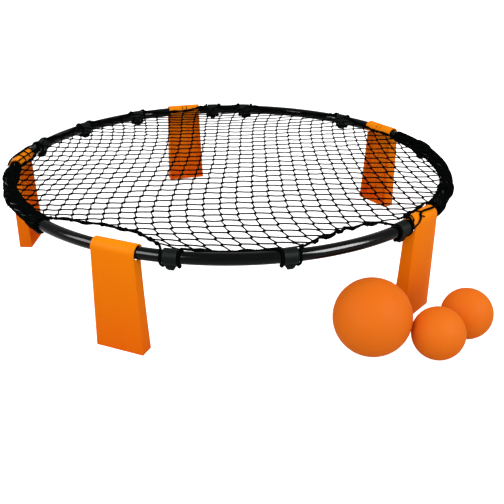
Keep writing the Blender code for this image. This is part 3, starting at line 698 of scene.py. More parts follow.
def build_rim(material, sleeve_material):
    """The five enamelled tubes; the sleeves inside their joints keep their solids."""
    for index in range(LEG_COUNT):
        tube = add_object(f"tube_{index + 1}", tube_mesh(index), material)
        hand_in(tube, "rim", "rim_enamel", f"rim_tube_{index + 1}")
        sleeve = frame["nodes"][f"joint_sleeve_{index + 1}"]
        for slot in sleeve.material_slots:
            slot.material = sleeve_material


# ---------------------------------------------------------------- legs

def flange_depth(share):
    """Depth of the leg's side walls at a share of its height above the ground."""
    flare = (1 - share) ** FLANGE_FLARE_POWER
    return FLANGE_DEPTH_TOP + (FLANGE_DEPTH_FOOT - FLANGE_DEPTH_TOP) * flare


def leg_skin():
    """The outer skin of a leg about its hinge: panel, saddle and both side flanges."""
    half_slot = SLOT_WIDTH / 2
    slot = (SLOT_CENTRE - half_slot, SLOT_CENTRE + half_slot)
    columns = (-1.0, -slot[1], -slot[0], slot[0], slot[1], 1.0)     # 1 is the whole half width
    slot_columns = (1, 3)
    reach = TUBE_RADIUS + LEG_SAG / 2 + FIT_GAP
    rise = (RIM_HEIGHT - reach) / FLANGE_STEPS
    heights = [-RIM_HEIGHT + rise * k for k in range(FLANGE_STEPS + 1)]
    depths = [flange_depth(1 + z / RIM_HEIGHT) for z in heights]
    for turn in CHEEK_TURNS:
        heights.append(-reach * math.sin(math.radians(turn)))
        depths.append(SADDLE_OUTER - reach * math.cos(math.radians(turn)))

    def half_width(z):
        share = min(1.0, -z / RIM_HEIGHT) if z < 0 else 0.0
        return (LEG_TOP_WIDTH + (LEG_FOOT_WIDTH - LEG_TOP_WIDTH) * share) / 2

    turns = [SADDLE_WRAP * k / SADDLE_STEPS for k in range(SADDLE_STEPS + 1)]
    profile = [(SADDLE_OUTER, z) for z in heights]
    profile += [(SADDLE_OUTER * math.cos(math.radians(turn)),
                 SADDLE_OUTER * math.sin(math.radians(turn))) for turn in turns]
    points = []
    for y, z in profile:
        width = half_width(z)
        points += [(c * width if abs(c) == 1.0 else c, y, z) for c in columns]
    faces = []
    for row in range(len(profile) - 1):
        turn = turns[row - len(heights)] if row >= len(heights) else 0.0
        in_slot = SLOT_TURNS[0] <= turn < SLOT_TURNS[1]
        for column in range(len(columns) - 1):
            if column in slot_columns and in_slot:
                continue
            a = row * len(columns) + column
            faces.append((a, a + len(columns), a + len(columns) + 1, a + 1))
    for side, edge in ((-1, 0), (1, len(columns) - 1)):
        first = len(points)
        points += [(side * half_width(z), SADDLE_OUTER - depth, z)
                   for z, depth in zip(heights, depths)]
        for row in range(len(heights) - 1):
            low, high = row * len(columns) + edge, (row + 1) * len(columns) + edge
            quad = (low, high, first + row + 1, first + row)
            faces.append(quad if side > 0 else tuple(reversed(quad)))
    return points, faces


def leg_mesh():
    """One leg, with rounded edges, its foot plate and its two inner ribs."""
    points, faces = leg_skin()
    mesh = bpy.data.meshes.new("leg")
    mesh.from_pydata(points, [], faces)
    leg = modified(mesh, "SOLIDIFY", thickness=LEG_WALL, offset=-1.0, use_even_offset=True)
    for vert in leg.vertices:
        if vert.co.z < -RIM_HEIGHT + LEG_WALL:
            vert.co.z = -RIM_HEIGHT
    leg = bevelled(leg, LEG_EDGE)
    panel_inside = SADDLE_OUTER - LEG_WALL
    rib_back = panel_inside + LEG_WALL / 2
    rib_top = -(SADDLE_BORE + RIB_TOP_CLEARANCE)
    plate_edge = SADDLE_OUTER - FLANGE_DEPTH_FOOT + FOOT_EDGE_INSET
    low, high = -RIM_HEIGHT + FOOT_RECESS, -RIM_HEIGHT + LEG_WALL
    half_plate = (LEG_FOOT_WIDTH - LEG_WALL) / 2
    plate = prism("plate", [(rib_back, low), (plate_edge, low), (plate_edge, high),
                            (rib_back, high)], -half_plate, half_plate)
    leg = boolean(leg, bevelled(plate, LEG_EDGE / 2), "UNION")
    foot = -RIM_HEIGHT + LEG_WALL / 2
    outline = [(rib_back, foot), (panel_inside - RIB_DEPTH, foot),
               (panel_inside - RIB_DEPTH, rib_top - RIB_DEPTH), (rib_back, rib_top)]
    for side in (-1, 1):
        middle = side * RIB_OFFSET
        rib = prism("rib", outline, middle - RIB_WIDTH / 2, middle + RIB_WIDTH / 2)
        leg = boolean(leg, bevelled(rib, RIB_WIDTH / 5), "UNION")
    return smooth(leg, EDGE_ANGLE)


def build_legs(material):
    """Five legs, each on its own body."""
    shape = leg_mesh()
    for index, azimuth in enumerate(LEG_AZIMUTHS):
        mesh = shape.copy()
        mesh.transform(standing(azimuth, HINGE_RADIUS, RIM_HEIGHT))
        leg = add_object(f"leg_moulding_{index + 1}", mesh, material)
        hand_in(leg, f"leg_{index + 1}", "leg_plastic", f"leg_{index + 1}")


# ---------------------------------------------------------------- net hooks

def collar_mesh():
    """The hook's collar: a turned band with rounded edges and fine grooves round it."""
    half = HOOK_WIDTH / 2
    edge = COLLAR_EDGE
    section = [(-half, HOOK_BORE), (-half, HOOK_OUTER - edge), (-half + edge, HOOK_OUTER)]
    pitch = (HOOK_WIDTH - 4 * edge) / COLLAR_LINES
    for k in range(COLLAR_LINES):
        x = -half + 2 * edge + pitch * k
        section += [(x + share * pitch, HOOK_OUTER - depth * COLLAR_LINE_DEPTH)
                    for share, depth in COLLAR_LINE_SHAPE]
    section += [(half - edge, HOOK_OUTER), (half, HOOK_OUTER - edge), (half, HOOK_BORE)]
    points = [(x, radius * y, radius * z) for y, z in circle(1.0, COLLAR_SIDES)
              for x, radius in section]
    return mesh_from("hook", points, ring_faces(COLLAR_SIDES, len(section)))


def hook_mesh():
    """A clip round the tube, with a shield-shaped crook below it that holds the cord."""
    cord_y = -CORD_RADIUS - FIT_GAP
    floor = -(CORD_UNDER_HOOK + CORD_RADIUS + 2 * CORD_CLEARANCE)
    tip = -(TUBE_RADIUS + HOOK_DROP)
    root = -(HOOK_BORE - HOOK_WALL)
    lip_inner = cord_y - CORD_RADIUS - 2 * CORD_CLEARANCE
    lip_outer = lip_inner - HOOK_LIP
    outline = [(0.0, root), (HOOK_STEM, root), (HOOK_STEM, floor), (HOOK_STEM / 2, tip),
               (lip_outer / 2, tip), (lip_outer, floor - HOOK_LIP), (lip_outer, -CORD_UNDER_HOOK),
               (lip_inner, -CORD_UNDER_HOOK), (lip_inner, floor), (0.0, floor)]

    def half_width(z):
        share = (z - tip) / (-TUBE_RADIUS - tip)
        return (HOOK_TIP_WIDTH + (HOOK_WIDTH - HOOK_TIP_WIDTH) * min(share, 1.0)) / 2

    points = [(side * half_width(z), y, z) for side in (-1, 1) for y, z in outline]
    crook = bevelled(mesh_from("crook", points, prism_faces(len(outline))), HOOK_EDGE)
    bore = prism("bore", circle(HOOK_BORE, COLLAR_SIDES), -HOOK_WIDTH, HOOK_WIDTH)
    clip = boolean(boolean(collar_mesh(), crook, "UNION"), bore, "DIFFERENCE")
    return smooth(clip, HOOK_SMOOTH_BELOW)


def build_hooks(material):
    """The fifteen clips round the rim."""
    shape = hook_mesh()
    for number, azimuth in enumerate(HOOK_AZIMUTHS, 1):
        mesh = shape.copy()
        mesh.transform(standing(azimuth, WRAP_CENTRE, RIM_HEIGHT))
        hook = add_object(f"hook_moulding_{number:02d}", mesh, material)
        hand_in(hook, "rim", "hook_plastic", f"net_hook_{number:02d}")


# ---------------------------------------------------------------- border cord

def wrap_radius(azimuth):
    """Least distance of the cord from the middle of the tube, larger over a saddle."""
    reach = LEG_TOP_WIDTH / 2 + SADDLE_SHOULDER
    radius = CORD_WRAP
    for leg in LEG_AZIMUTHS:
        along = abs(length_along(angle_between(leg, azimuth)))
        share = clamped(1 - (along - reach) / SADDLE_RAMP)
        radius = max(radius, CORD_WRAP + (CORD_OVER_SADDLE - CORD_WRAP) * share)
    return radius


def cord_section(azimuth, index, share):
    """The cord's (inward, upward) place at a share of an open stretch."""
    inward = SPAN_DEPTHS[index] * ARCH_TOP * share * (1 - share)
    if index in SPAN_SHAPES:
        shares, depths = zip(*SPAN_SHAPES[index])
        inward = float(np.interp(share, shares, depths)) / 1000
    fall = min(1.0, inward / SPAN_DEPTHS[index])
    upward = CORD_WRAP + (NET_HEIGHT - CORD_WRAP) * fall
    if index == SLACK_SPAN:
        wave = 2 * math.pi * length_along(azimuth) / SLACK_WAVE
        inward += SLACK_HEIGHT * fall * math.sin(wave)
        upward += SLACK_HEIGHT * fall * math.cos(SLACK_RISE_PACE * wave)
    distance = math.hypot(inward, upward)
    least = wrap_radius(azimuth)
    if distance < least:
        inward, upward = inward * least / distance, upward * least / distance
    return inward, upward


def hook_crossing(azimuth):
    """Points of the cord over the tube, under one hook and back, counter-clockwise."""
    whole = list(HOOK_CROSSING)
    whole += [(-along, turn, distance) for along, turn, distance in reversed(HOOK_CROSSING[:-1])]
    points = []
    for along, turn, distance in whole:
        at = azimuth + degrees_along(along)
        lift = max(0.0, math.sin(math.radians(turn))) * (wrap_radius(at) - CORD_WRAP)
        points.append(wound(at, turn, distance + lift))
    return points


def cord_route():
    """Points of the whole loop: each hook's crossing, then the stretch to the next hook."""
    route = []
    lead = degrees_along(CORD_WRAP_OFFSET + SPAN_LEAD)
    for index, hook in enumerate(HOOK_AZIMUTHS):
        route += hook_crossing(hook)
        width = (HOOK_AZIMUTHS[(index + 1) % HOOK_COUNT] - hook) % 360.0
        steps = max(2, round(length_along(width - 2 * lead) / SPAN_POINT_EVERY))
        for k in range(steps + 1):
            azimuth = hook + lead + (width - 2 * lead) * k / steps
            inward, upward = cord_section(azimuth, index, (azimuth - hook) / width)
            route.append(on_rim(azimuth, inward, upward))
    return route


CORD_ROUTE = cord_route()


def seen_edge():
    """The parts of the cord that the net hangs on: (azimuth, point, direction) along its top."""
    edge = []
    count = len(CORD_ROUTE)
    for k in range(count):
        here, following = CORD_ROUTE[k], CORD_ROUTE[(k + 1) % count]
        for part in range(HANG_POINTS):
            point = here.lerp(following, part / HANG_POINTS)
            azimuth, inward, upward = rim_place(point)
            if inward > HANG_INSET and upward > 0.0:
                edge.append((azimuth, point, (following - here).normalized()))
    return edge


CORD_EDGE = sorted(seen_edge(), key=lambda e: e[0])
EDGE_AZIMUTHS = [azimuth for azimuth, _, _ in CORD_EDGE]


def cord_at(azimuth):
    """The place and the direction of the cord nearest to an azimuth, where the net can hang."""
    near = bisect.bisect(EDGE_AZIMUTHS, azimuth % 360.0)
    choices = [CORD_EDGE[(near + k) % len(CORD_EDGE)] for k in range(-2, 2)]
    _, point, direction = min(choices, key=lambda e: abs(angle_between(e[0], azimuth)))
    return point, direction


def cord_inset(azimuth):
    """How far the cord is inside the middle of the tube at an azimuth."""
    return rim_place(cord_at(azimuth)[0])[1]


# ---------------------------------------------------------------- twine, by geometry nodes

STRAND, KNOT, HITCH = 0, 1, 2   # what a point of the path mesh stands for


def twine_tree():
    """Edges become round twine, and points that are marked carry a knot or a hitch."""
    tree = bpy.data.node_groups.new("twine_work", "GeometryNodeTree")
    tree.interface.new_socket("Geometry", in_out="INPUT", socket_type="NodeSocketGeometry")
    for name, kind in (("Twine Radius", "Float"), ("Sides", "Int"), ("Step", "Float"),
                       ("Bow", "Float"), ("Seed", "Int"), ("Knot", "Object"),
                       ("Hitch", "Object"), ("Material", "Material")):
        tree.interface.new_socket(name, in_out="INPUT", socket_type="NodeSocket" + kind)
    tree.interface.new_socket("Geometry", in_out="OUTPUT", socket_type="NodeSocketGeometry")
    given = add_node(tree, "NodeGroupInput").outputs
    part = add_node(tree, "GeometryNodeInputNamedAttribute", {"Name": "part"}, data_type="INT")
    is_part = [add_node(tree, "FunctionNodeCompare",
                        {NUMBER_A: part.outputs["Attribute"], NUMBER_B: number},
                        data_type="INT", operation="EQUAL").outputs["Result"]
               for number in (STRAND, KNOT, HITCH)]
    strands = add_node(tree, "GeometryNodeSeparateGeometry",
                       {"Geometry": given["Geometry"], "Selection": is_part[STRAND]})
    curve = add_node(tree, "GeometryNodeMeshToCurve", {"Mesh": strands.outputs["Selection"]})
    round_curve = add_node(tree, "GeometryNodeCurveSplineType",
                           {"Curve": curve.outputs["Curve"]}, spline_type="CATMULL_ROM")
    even = add_node(tree, "GeometryNodeResampleCurve",
                    {"Curve": round_curve.outputs["Curve"], "Length": given["Step"]},
                    mode="LENGTH")
    parameter = add_node(tree, "GeometryNodeSplineParameter").outputs
    rest = add_node(tree, "ShaderNodeMath", {0: 1.0, 1: parameter["Factor"]},
                    operation="SUBTRACT")
    arch = add_node(tree, "ShaderNodeMath", {0: parameter["Factor"], 1: rest.outputs[0]},
                    operation="MULTIPLY")
    height = add_node(tree, "ShaderNodeMath", {0: arch.outputs[0], 1: given["Bow"]},
                      operation="MULTIPLY")
    number = add_node(tree, "GeometryNodeCurveOfPoint").outputs["Curve Index"]
    aside = add_node(tree, "FunctionNodeRandomValue",
                     {"Min": (-ARCH_TOP,) * 3, "Max": (ARCH_TOP,) * 3, "ID": number,
                      "Seed": given["Seed"]}, data_type="FLOAT_VECTOR")
    offset = add_node(tree, "ShaderNodeVectorMath",
                      {0: aside.outputs[0], "Scale": height.outputs[0]}, operation="SCALE")
    bent = add_node(tree, "GeometryNodeSetPosition",
                    {"Geometry": even.outputs["Curve"], "Offset": offset.outputs[0]})
    rail = add_node(tree, "GeometryNodeStoreNamedAttribute",
                    {"Geometry": bent.outputs["Geometry"], "Name": "along",
                     "Value": parameter["Length"]}, data_type="FLOAT", domain="POINT")
    ring = add_node(tree, "GeometryNodeCurvePrimitiveCircle",
                    {"Resolution": given["Sides"], "Radius": given["Twine Radius"]})
    spot = add_node(tree, "ShaderNodeVectorMath",
                    {0: add_node(tree, "GeometryNodeInputPosition").outputs[0]},
                    operation="NORMALIZE")
    section = add_node(tree, "GeometryNodeStoreNamedAttribute",
                       {"Geometry": ring.outputs["Curve"], "Name": "around",
                        "Value": spot.outputs[0]}, data_type="FLOAT_VECTOR", domain="POINT")
    twine = add_node(tree, "GeometryNodeCurveToMesh",
                     {"Curve": rail.outputs["Geometry"],
                      "Profile Curve": section.outputs["Geometry"], "Fill Caps": True})
    axis = add_node(tree, "GeometryNodeInputNamedAttribute", {"Name": "axis"},
                    data_type="FLOAT_VECTOR")
    turn = add_node(tree, "FunctionNodeAlignRotationToVector",
                    {"Vector": axis.outputs["Attribute"]}, axis="Z")
    together = add_node(tree, "GeometryNodeJoinGeometry", {"Geometry": twine.outputs["Mesh"]})
    for name, chosen in (("Knot", is_part[KNOT]), ("Hitch", is_part[HITCH])):
        shape = add_node(tree, "GeometryNodeObjectInfo", {"Object": given[name]})
        placed = add_node(tree, "GeometryNodeInstanceOnPoints",
                          {"Points": given["Geometry"], "Selection": chosen,
                           "Instance": shape.outputs["Geometry"],
                           "Rotation": turn.outputs["Rotation"]})
        tree.links.new(placed.outputs["Instances"], together.inputs["Geometry"])
    real = add_node(tree, "GeometryNodeRealizeInstances",
                    {"Geometry": together.outputs["Geometry"]})
    soft = add_node(tree, "GeometryNodeSetShadeSmooth", {"Geometry": real.outputs["Geometry"]})
    done = add_node(tree, "GeometryNodeSetMaterial",
                    {"Geometry": soft.outputs["Geometry"], "Material": given["Material"]})
    add_node(tree, "NodeGroupOutput", {"Geometry": done.outputs["Geometry"]})
    return tree


TWINE_TREE = twine_tree()


def made_of_twine(name, mesh, values):
    """The plain mesh that the twine tree makes from edges and marked points."""
    obj = add_object(name, mesh)
    step = obj.modifiers.new("twine", "NODES")
    step.node_group = TWINE_TREE
    for item in TWINE_TREE.interface.items_tree:
        if item.in_out == "INPUT" and item.name in values:
            step[item.identifier] = values[item.name]
    return evaluated(obj)


def twine_mesh(name, strands, knots=(), hitches=(), closed=False):
    """Edges along each strand's points, then one marked point for each knot and hitch."""
    points, edges = [], []
    for strand in strands:
        first = len(points)
        points += strand
        edges += [(first + k, first + k + 1) for k in range(len(strand) - 1)]
        if closed:
            edges.append((len(points) - 1, first))
    parts = [STRAND] * len(points)
    axes = [Vector((0.0, 0.0, 1.0))] * len(points)
    for part, marks in ((KNOT, knots), (HITCH, hitches)):
        for point, axis in marks:
            points.append(point)
            parts.append(part)
            axes.append(axis)
    mesh = bpy.data.meshes.new(name)
    mesh.from_pydata([tuple(p) for p in points], edges, [])
    mesh.attributes.new("part", "INT", "POINT").data.foreach_set("value", parts)
    flat = [c for axis in axes for c in axis]
    mesh.attributes.new("axis", "FLOAT_VECTOR", "POINT").data.foreach_set("vector", flat)
    return mesh


def build_cord(material):
    """The border cord, one braided loop."""
    mesh = twine_mesh("border_cord_path", [CORD_ROUTE], closed=True)
    made = made_of_twine("braided_border_cord", mesh, {
        "Twine Radius": CORD_RADIUS, "Sides": CORD_SIDES, "Step": CORD_STEP, "Bow": 0.0,
        "Seed": NET_SEED, "Material": material})
    cord = add_object("braided_border_cord", made)
    hand_in(cord, "rim", "net_cord", "border_cord")


# ---------------------------------------------------------------- net

def knot_shape():
    """One knot of twine along +Z: a lump with the turns of the twine round it."""
    points = [(0.0, 0.0, -KNOT_HALF_LENGTH)]
    for k in range(1, KNOT_RINGS):
        angle = math.pi * k / KNOT_RINGS
        for i in range(KNOT_SIDES):
            turn = 2 * math.pi * i / KNOT_SIDES
            swell = 1 + KNOT_SWELL * math.cos(2 * turn - KNOT_TWIST * angle)
            radius = KNOT_GIRTH * math.sin(angle) ** KNOT_BLUNTNESS * swell
            points.append((radius * math.cos(turn), radius * math.sin(turn) * KNOT_FLATNESS,
                           -KNOT_HALF_LENGTH * math.cos(angle)))
    points.append((0.0, 0.0, KNOT_HALF_LENGTH))
    last = len(points) - 1
    faces = []
    for i in range(KNOT_SIDES):
        j = (i + 1) % KNOT_SIDES
        faces.append((0, 1 + j, 1 + i))
        faces.append((last, last - KNOT_SIDES + i, last - KNOT_SIDES + j))
        for k in range(KNOT_RINGS - 2):
            a, b = 1 + k * KNOT_SIDES, 1 + (k + 1) * KNOT_SIDES
            faces.append((a + i, a + j, b + j, b + i))
    return mesh_from("knot", points, faces)


def hitch_shape():
    """Two turns of twine round the border cord, which runs along +Z."""
    middle = CORD_RADIUS + TWINE_RADIUS * HITCH_LIFT
    points, faces = [], []
    for height in (-TWINE_RADIUS, TWINE_RADIUS):
        faces += ring_faces(HITCH_SIDES, HITCH_SECTION, len(points))
        for x, y in circle(1.0, HITCH_SIDES):
            for out, up in circle(TWINE_RADIUS, HITCH_SECTION):
                points.append(((middle + out) * x, (middle + out) * y, height + up))
    return mesh_from("hitch", points, faces)


def hung_knot(knot):
    """Where a knot of the hung net lies, right and up of the rim's centre."""
    # the middle of the rim is in the middle of a mesh
    right, up = (knot[0] - 0.5) / NET_LIE_UNIT, (knot[1] - 0.5) / NET_LIE_UNIT
    place = Vector((0.0, 0.0))
    for power, other, x, y in NET_LIE:
        place += Vector((x, y)) * right ** power * up ** other / 1000
    return place


SIDES = ((1, 0), (0, 1), (-1, 0), (0, -1))      # of a knot: right, up, left, down


def next_knot(knot, side):
    """The knot beside another one."""
    return knot[0] + SIDES[side][0], knot[1] + SIDES[side][1]


def hung_net():
    """The net's knots, and the ends of its strands as {(knot, side): (azimuth, share)}."""
    def clear_of_cord(place, margin):
        return WRAP_CENTRE - place.length > cord_inset(azimuth_of(place)) + margin

    known = {(0, 0)}
    ahead = [(0, 0)]
    ends = {}
    while ahead:
        knot = ahead.pop()
        here = hung_knot(knot)
        for side in range(len(SIDES)):
            other = next_knot(knot, side)
            run = hung_knot(other) - here
            if clear_of_cord(here + run, KNOT_INSET):
                if other not in known:
                    known.add(other)
                    ahead.append(other)
                continue
            share = END_STEP
            while share < END_REACH and clear_of_cord(here + run * share, 0.0):
                share += END_STEP
            ends[knot, side] = (azimuth_of(here + run * share), share)
    return sorted(known), ends


def relaxed_net(knots, ends):
    """Places of the knots between their own lie and the pull of their strands."""
    order = {knot: k for k, knot in enumerate(knots)}
    pull = np.zeros((len(knots), len(knots)))
    held = np.zeros((len(knots), 3))
    for knot, k in order.items():
        here = hung_knot(knot)
        own = RIM_CENTRE + Vector((here.x, here.y, RIM_HEIGHT + NET_HEIGHT))
        pull[k, k] += KNOT_HOLD
        held[k] += KNOT_HOLD * np.array(own)
        for side in range(len(SIDES)):
            other = next_knot(knot, side)
            run = hung_knot(other) - here
            if other in order:
                # pulls alike on both sides keep the lie of an even net
                pull[k, k] += 1.0
                pull[k, order[other]] -= 1.0
                held[k] -= np.array((run.x, run.y, 0.0))
            else:
                azimuth, share = ends[knot, side]
                weight = END_PULL / max(share, END_PULL)
                run *= share
                pull[k, k] += weight
                held[k] += weight * (np.array(cord_at(azimuth)[0])
                                     - np.array((run.x, run.y, 0.0)))
    solved = np.linalg.solve(pull, held)
    draw = random.Random(NET_SEED)
    places = {}
    for knot, k in order.items():
        shift = Vector([draw.uniform(-KNOT_JITTER, KNOT_JITTER) for _ in range(3)])
        places[knot] = Vector(solved[k]) + shift
    return places


def gathered_strands():
    """Netting drawn along the tube and over its hooks, until its strands lie side by side."""
    draw = random.Random(NET_SEED)
    strands = []
    for first, last in GATHERS:
        steps = int(length_along(last - first) / GATHER_STEP)
        for number in range(GATHER_STRANDS):
            even = 360.0 * number / GATHER_STRANDS
            start = even + draw.uniform(-GATHER_SCATTER, GATHER_SCATTER)
            sway, swing = draw.uniform(*GATHER_SWAY), draw.uniform(0.0, GATHER_SWAY_START)
            strand = []
            for k in range(steps + 1):
                azimuth = (first + degrees_along(GATHER_STEP * k)) % 360.0
                beside = min(abs(length_along(angle_between(hook, azimuth)))
                             for hook in HOOK_AZIMUTHS) - HOOK_WIDTH / 2
                rise = clamped(1 - (beside - GATHER_SHOULDER) / GATHER_RAMP)
                distance = TUBE_RADIUS + (HOOK_OUTER - TUBE_RADIUS) * rise + TWINE_RADIUS
                turn = start + 360.0 * GATHER_STEP * k / GATHER_TURN
                turn += sway * math.sin(swing + GATHER_SWAY_STEP * k)
                strand.append(wound(azimuth, turn, distance))
            strands.append(strand)
    return strands


def saddle_strands():
    """Strands that cross the tops of two legs."""
    strands = []
    over = SADDLE_OUTER + LEG_SAG / 2 + TWINE_RADIUS
    for leg, places in SADDLE_STRANDS:
        strand = []
        for along, turn in places:
            share = clamped((abs(along) / 1000 - LEG_TOP_WIDTH / 2) / SADDLE_RAMP)
            distance = over + (HOOK_OUTER + TWINE_RADIUS - over) * share
            strand.append(wound(LEG_AZIMUTHS[leg] + degrees_along(along / 1000), turn, distance))
        strands.append(strand)
    return strands


def selvedge_strands():
    """The net's own edge strand, which winds round each open stretch of the border cord."""
    strands, strand, run = [], [], 0.0
    reach = CORD_RADIUS + TWINE_RADIUS * SELVEDGE_LIFT
    count = len(CORD_ROUTE)
    for k in range(count + 1):
        here, following = CORD_ROUTE[k % count], CORD_ROUTE[(k + 1) % count]
        _, inward, upward = rim_place(here)
        if k < count and inward > SELVEDGE_INSET and upward > 0.0:
            along = (following - here).normalized()
            side = along.cross(Vector((0.0, 0.0, 1.0))).normalized()
            turn = 2 * math.pi * run / SELVEDGE_TURN
            strand.append(here + side * (reach * math.cos(turn))
                          + side.cross(along) * (reach * math.sin(turn)))
            run += (following - here).length
        else:
            if len(strand) >= SELVEDGE_POINTS:
                strands.append(strand)
            strand = []
    return strands


def net_parts():
    """Strands, knots and hitches of the whole net."""
    knots, ends = hung_net()
    places = relaxed_net(knots, ends)
    strands, lumps, hitches = [], [], []
    tips = {}
    for knot, place in places.items():
        around = [places.get(next_knot(knot, side)) or cord_at(ends[knot, side][0])[0]
                  for side in range(len(SIDES))]
        axis = (around[0] - around[2]).normalized() + (around[1] - around[3]).normalized()
        axis.normalize()
        uneven = KNOT_UNEVENNESS if sum(knot) % 2 else -KNOT_UNEVENNESS
        half = axis * KNOT_SPREAD / 2 * (1 + uneven)
        tips[knot] = (place - half, place + half)
        lumps.append((place, axis))
    for knot in knots:
        low, high = tips[knot]
        for side in range(len(SIDES)):
            rightward_or_up = side < 2
            start = high if rightward_or_up else low
            other = next_knot(knot, side)
            if other not in tips:
                point, direction = cord_at(ends[knot, side][0])
                strands.append([start, point])
                hitches.append((point, direction))
            elif rightward_or_up:
                strands.append([start, tips[other][0]])
    over_saddles = saddle_strands()
    lumps.append((over_saddles[0][SADDLE_KNOT], Vector((0.0, 0.0, 1.0))))
    for hook in HOOK_AZIMUTHS:
        crossing = hook_crossing(hook)
        for above, below in HITCH_STEPS:
            first, last = crossing[above], crossing[below]
            hitches.append((first.lerp(last, HITCH_SHARE), (last - first).normalized()))
    return strands + gathered_strands() + over_saddles + selvedge_strands(), lumps, hitches


def build_net(material):
    """The knotted net, tied to the border cord all round."""
    strands, lumps, hitches = net_parts()
    knot = add_object("knot_shape", knot_shape())
    hitch = add_object("hitch_shape", hitch_shape())
    made = made_of_twine("knotted_net", twine_mesh("net_path", strands, lumps, hitches), {
        "Twine Radius": TWINE_RADIUS, "Sides": TWINE_SIDES, "Step": TWINE_STEP,
        "Bow": TWINE_BOW, "Seed": NET_SEED, "Knot": knot, "Hitch": hitch,
        "Material": material})
    for shape in (knot, hitch):
        bpy.data.objects.remove(shape, do_unlink=True)
    net = add_object("knotted_net", made)
    hand_in(net, "rim", "net_cord", "net")


# ---------------------------------------------------------------- balls

def half_circle(radius, rings):
    """Points (distance from the axis, place along it) from one pole to the other."""
    angles = [math.pi * k / rings for k in range(1, rings)]
    return [(radius * math.sin(a), radius * math.cos(a)) for a in angles]


def along_axis(radius):
    """Where a sphere's surface meets the valve hole's wall, along the hole's axis."""
    return math.sqrt(radius ** 2 - VALVE_RADIUS ** 2)


def turned(name, outline, segments):
    """A closed shape turned about the Y axis from (distance, place along) points."""
    work = bmesh.new()
    line = [work.verts.new((r, y, 0.0)) for r, y in outline]
    edges = [work.edges.new(pair) for pair in zip(line, line[1:])]
    if outline[0][0] > WELD and outline[-1][0] > WELD:
        edges.append(work.edges.new((line[-1], line[0])))
    bmesh.ops.spin(work, geom=line + edges, cent=(0, 0, 0), axis=(0, 1, 0), dvec=(0, 0, 0),
                   angle=2 * math.pi, steps=segments, use_merge=True)
    bmesh.ops.remove_doubles(work, verts=work.verts, dist=WELD)
    bmesh.ops.recalc_face_normals(work, faces=work.faces)
    mesh = bpy.data.meshes.new(name)
    work.to_mesh(mesh)
    work.free()
    return smooth(mesh)


def ball_mesh(name, radius, wall):
    """A hollow ball turned about its valve hole, which opens towards +Y."""
    inner = radius - wall
    outside = [(VALVE_RADIUS, along_axis(radius))]
    outside += half_circle(radius, BALL_RINGS) + [(0.0, -radius)]
    inside = [(VALVE_RADIUS, along_axis(inner))]
    inside += half_circle(inner, BALL_RINGS // 2) + [(0.0, -inner)]
    return turned(name, list(reversed(outside)) + inside, BALL_SEGMENTS)


def valve_plug(name, radius):
    """The plug in the valve hole, with a rounded rim and the needle's dimple."""
    face = along_axis(radius)
    back = face - VALVE_LENGTH
    rim = VALVE_RADIUS - FIT_GAP
    outline = [(distance, face - depth) for distance, depth in VALVE_DIMPLE]
    outline += [(rim - VALVE_EDGE, face), (rim, face - VALVE_EDGE), (rim, back + VALVE_EDGE),
                (rim - VALVE_EDGE, back), (0.0, back)]
    return turned(name, outline, VALVE_SEGMENTS)


def build_balls(rubber, plug):
    """Three balls, each on its own body."""
    for name, wall in (("large", LARGE_BALL_WALL), ("small_front", SMALL_BALL_WALL),
                       ("small_back", SMALL_BALL_WALL)):
        low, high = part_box(f"ball_{name}")
        radius = (high.z - low.z) / 2
        middle = Matrix.Translation((low + high) / 2)
        for made, slot, node, material in (
                (ball_mesh(f"rubber_ball_{name}", radius, wall), "ball_rubber",
                 f"ball_{name}", rubber),
                (valve_plug(f"valve_plug_{name}", radius), "valve_rubber",
                 f"valve_{name}", plug)):
            made.transform(middle)
            hand_in(add_object(made.name, made, material), f"ball_{name}", slot, node)


# ---------------------------------------------------------------- studio

def seen_directly(tree):
    """1 for what the camera, a reflection or a clear piece shows, 0 for what only gives light."""
    path = add_node(tree, "ShaderNodeLightPath").outputs
    seen = add_node(tree, "ShaderNodeMath", {0: path["Is Camera Ray"], 1: path["Is Glossy Ray"]},
                    operation="ADD")
    seen = add_node(tree, "ShaderNodeMath", {0: seen.outputs[0],
                                             1: path["Is Transmission Ray"]},
                    operation="ADD", use_clamp=True)
    return seen.outputs[0]


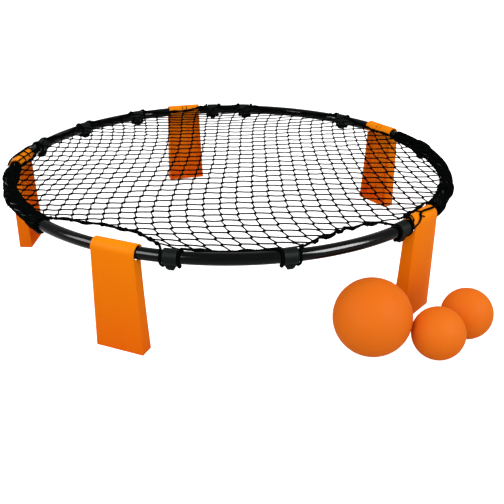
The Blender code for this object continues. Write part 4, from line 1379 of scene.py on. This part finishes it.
def build_floor():
    """White paper under the set."""
    corners = [(x * FLOOR_HALF, y * FLOOR_HALF, 0.0)
               for x, y in ((-1, -1), (1, -1), (1, 1), (-1, 1))]
    floor = add_object("studio_floor", mesh_from("studio_floor", corners, [(0, 1, 2, 3)]))
    material = bpy.data.materials.new("white_paper")
    material.use_nodes = True
    tree = material.node_tree
    tree.nodes.clear()
    matt = add_node(tree, "ShaderNodeBsdfDiffuse", {"Color": linear("#d0d0d0")})
    glow = add_node(tree, "ShaderNodeEmission", {
        "Color": linear("#ffffff"), "Strength": seen_directly(tree)})
    both = add_node(tree, "ShaderNodeAddShader", {0: matt.outputs[0], 1: glow.outputs[0]})
    add_node(tree, "ShaderNodeOutputMaterial", {"Surface": both.outputs[0]})
    floor.data.materials.append(material)


def build_air():
    """White air all round: a little light on the set, and plain white behind it."""
    world = bpy.data.worlds.new("studio_air")
    bpy.context.scene.world = world
    world.use_nodes = True
    tree = world.node_tree
    strength = add_node(tree, "ShaderNodeMapRange", {
        "Value": seen_directly(tree), "To Min": AIR_STRENGTH, "To Max": 1.0})
    set_inputs(tree, tree.nodes["Background"], {
        "Color": linear("#ffffff"), "Strength": strength.outputs["Result"]})


def build_lights():
    """Three soft lights, and one at each side for the gloss on the tube."""
    for name, place, aim, (width, length), watts, gloss in LIGHTS:
        light = bpy.data.lights.new(name, "AREA")
        light.shape = "RECTANGLE"
        light.size = width
        light.size_y = length
        light.energy = watts
        obj = add_object(name, light)
        obj.location = place
        obj.rotation_euler = (Vector(aim) - Vector(place)).to_track_quat("-Z", "Y").to_euler()
        obj.visible_camera = False
        obj.visible_diffuse = not gloss
        obj.visible_glossy = gloss


def build_camera():
    """The photograph's view."""
    camera = bpy.data.cameras.new("photograph_view")
    camera.lens = CAMERA_LENS
    obj = add_object("photograph_view", camera)
    place = RIM_CENTRE + Vector((0.0, -CAMERA_BACK, CAMERA_UP))
    aim = RIM_CENTRE + Vector((*CAMERA_AIM, 0.0))
    turn = (aim - place).to_track_quat("-Z", "Y").to_matrix().to_4x4()
    obj.matrix_world = Matrix.Translation(place) @ turn @ Matrix.Rotation(CAMERA_ROLL, 4, "Z")
    bpy.context.scene.camera = obj


def main():
    bpy.context.scene.view_settings.view_transform = "Standard"
    build_camera()
    braid = polyester_yarn("braided_polyester", lay=0.012, plies=6, depth=0.0004)
    twist = polyester_yarn("twisted_polyester", lay=0.006, plies=2, depth=0.0003)
    build_rim(enamelled_steel(), zinc_plated_steel())
    build_legs(moulded_polypropylene())
    build_hooks(moulded_nylon())
    build_cord(braid)
    build_net(twist)
    build_balls(inflated_rubber(), valve_rubber())
    build_floor()
    build_air()
    build_lights()


main()
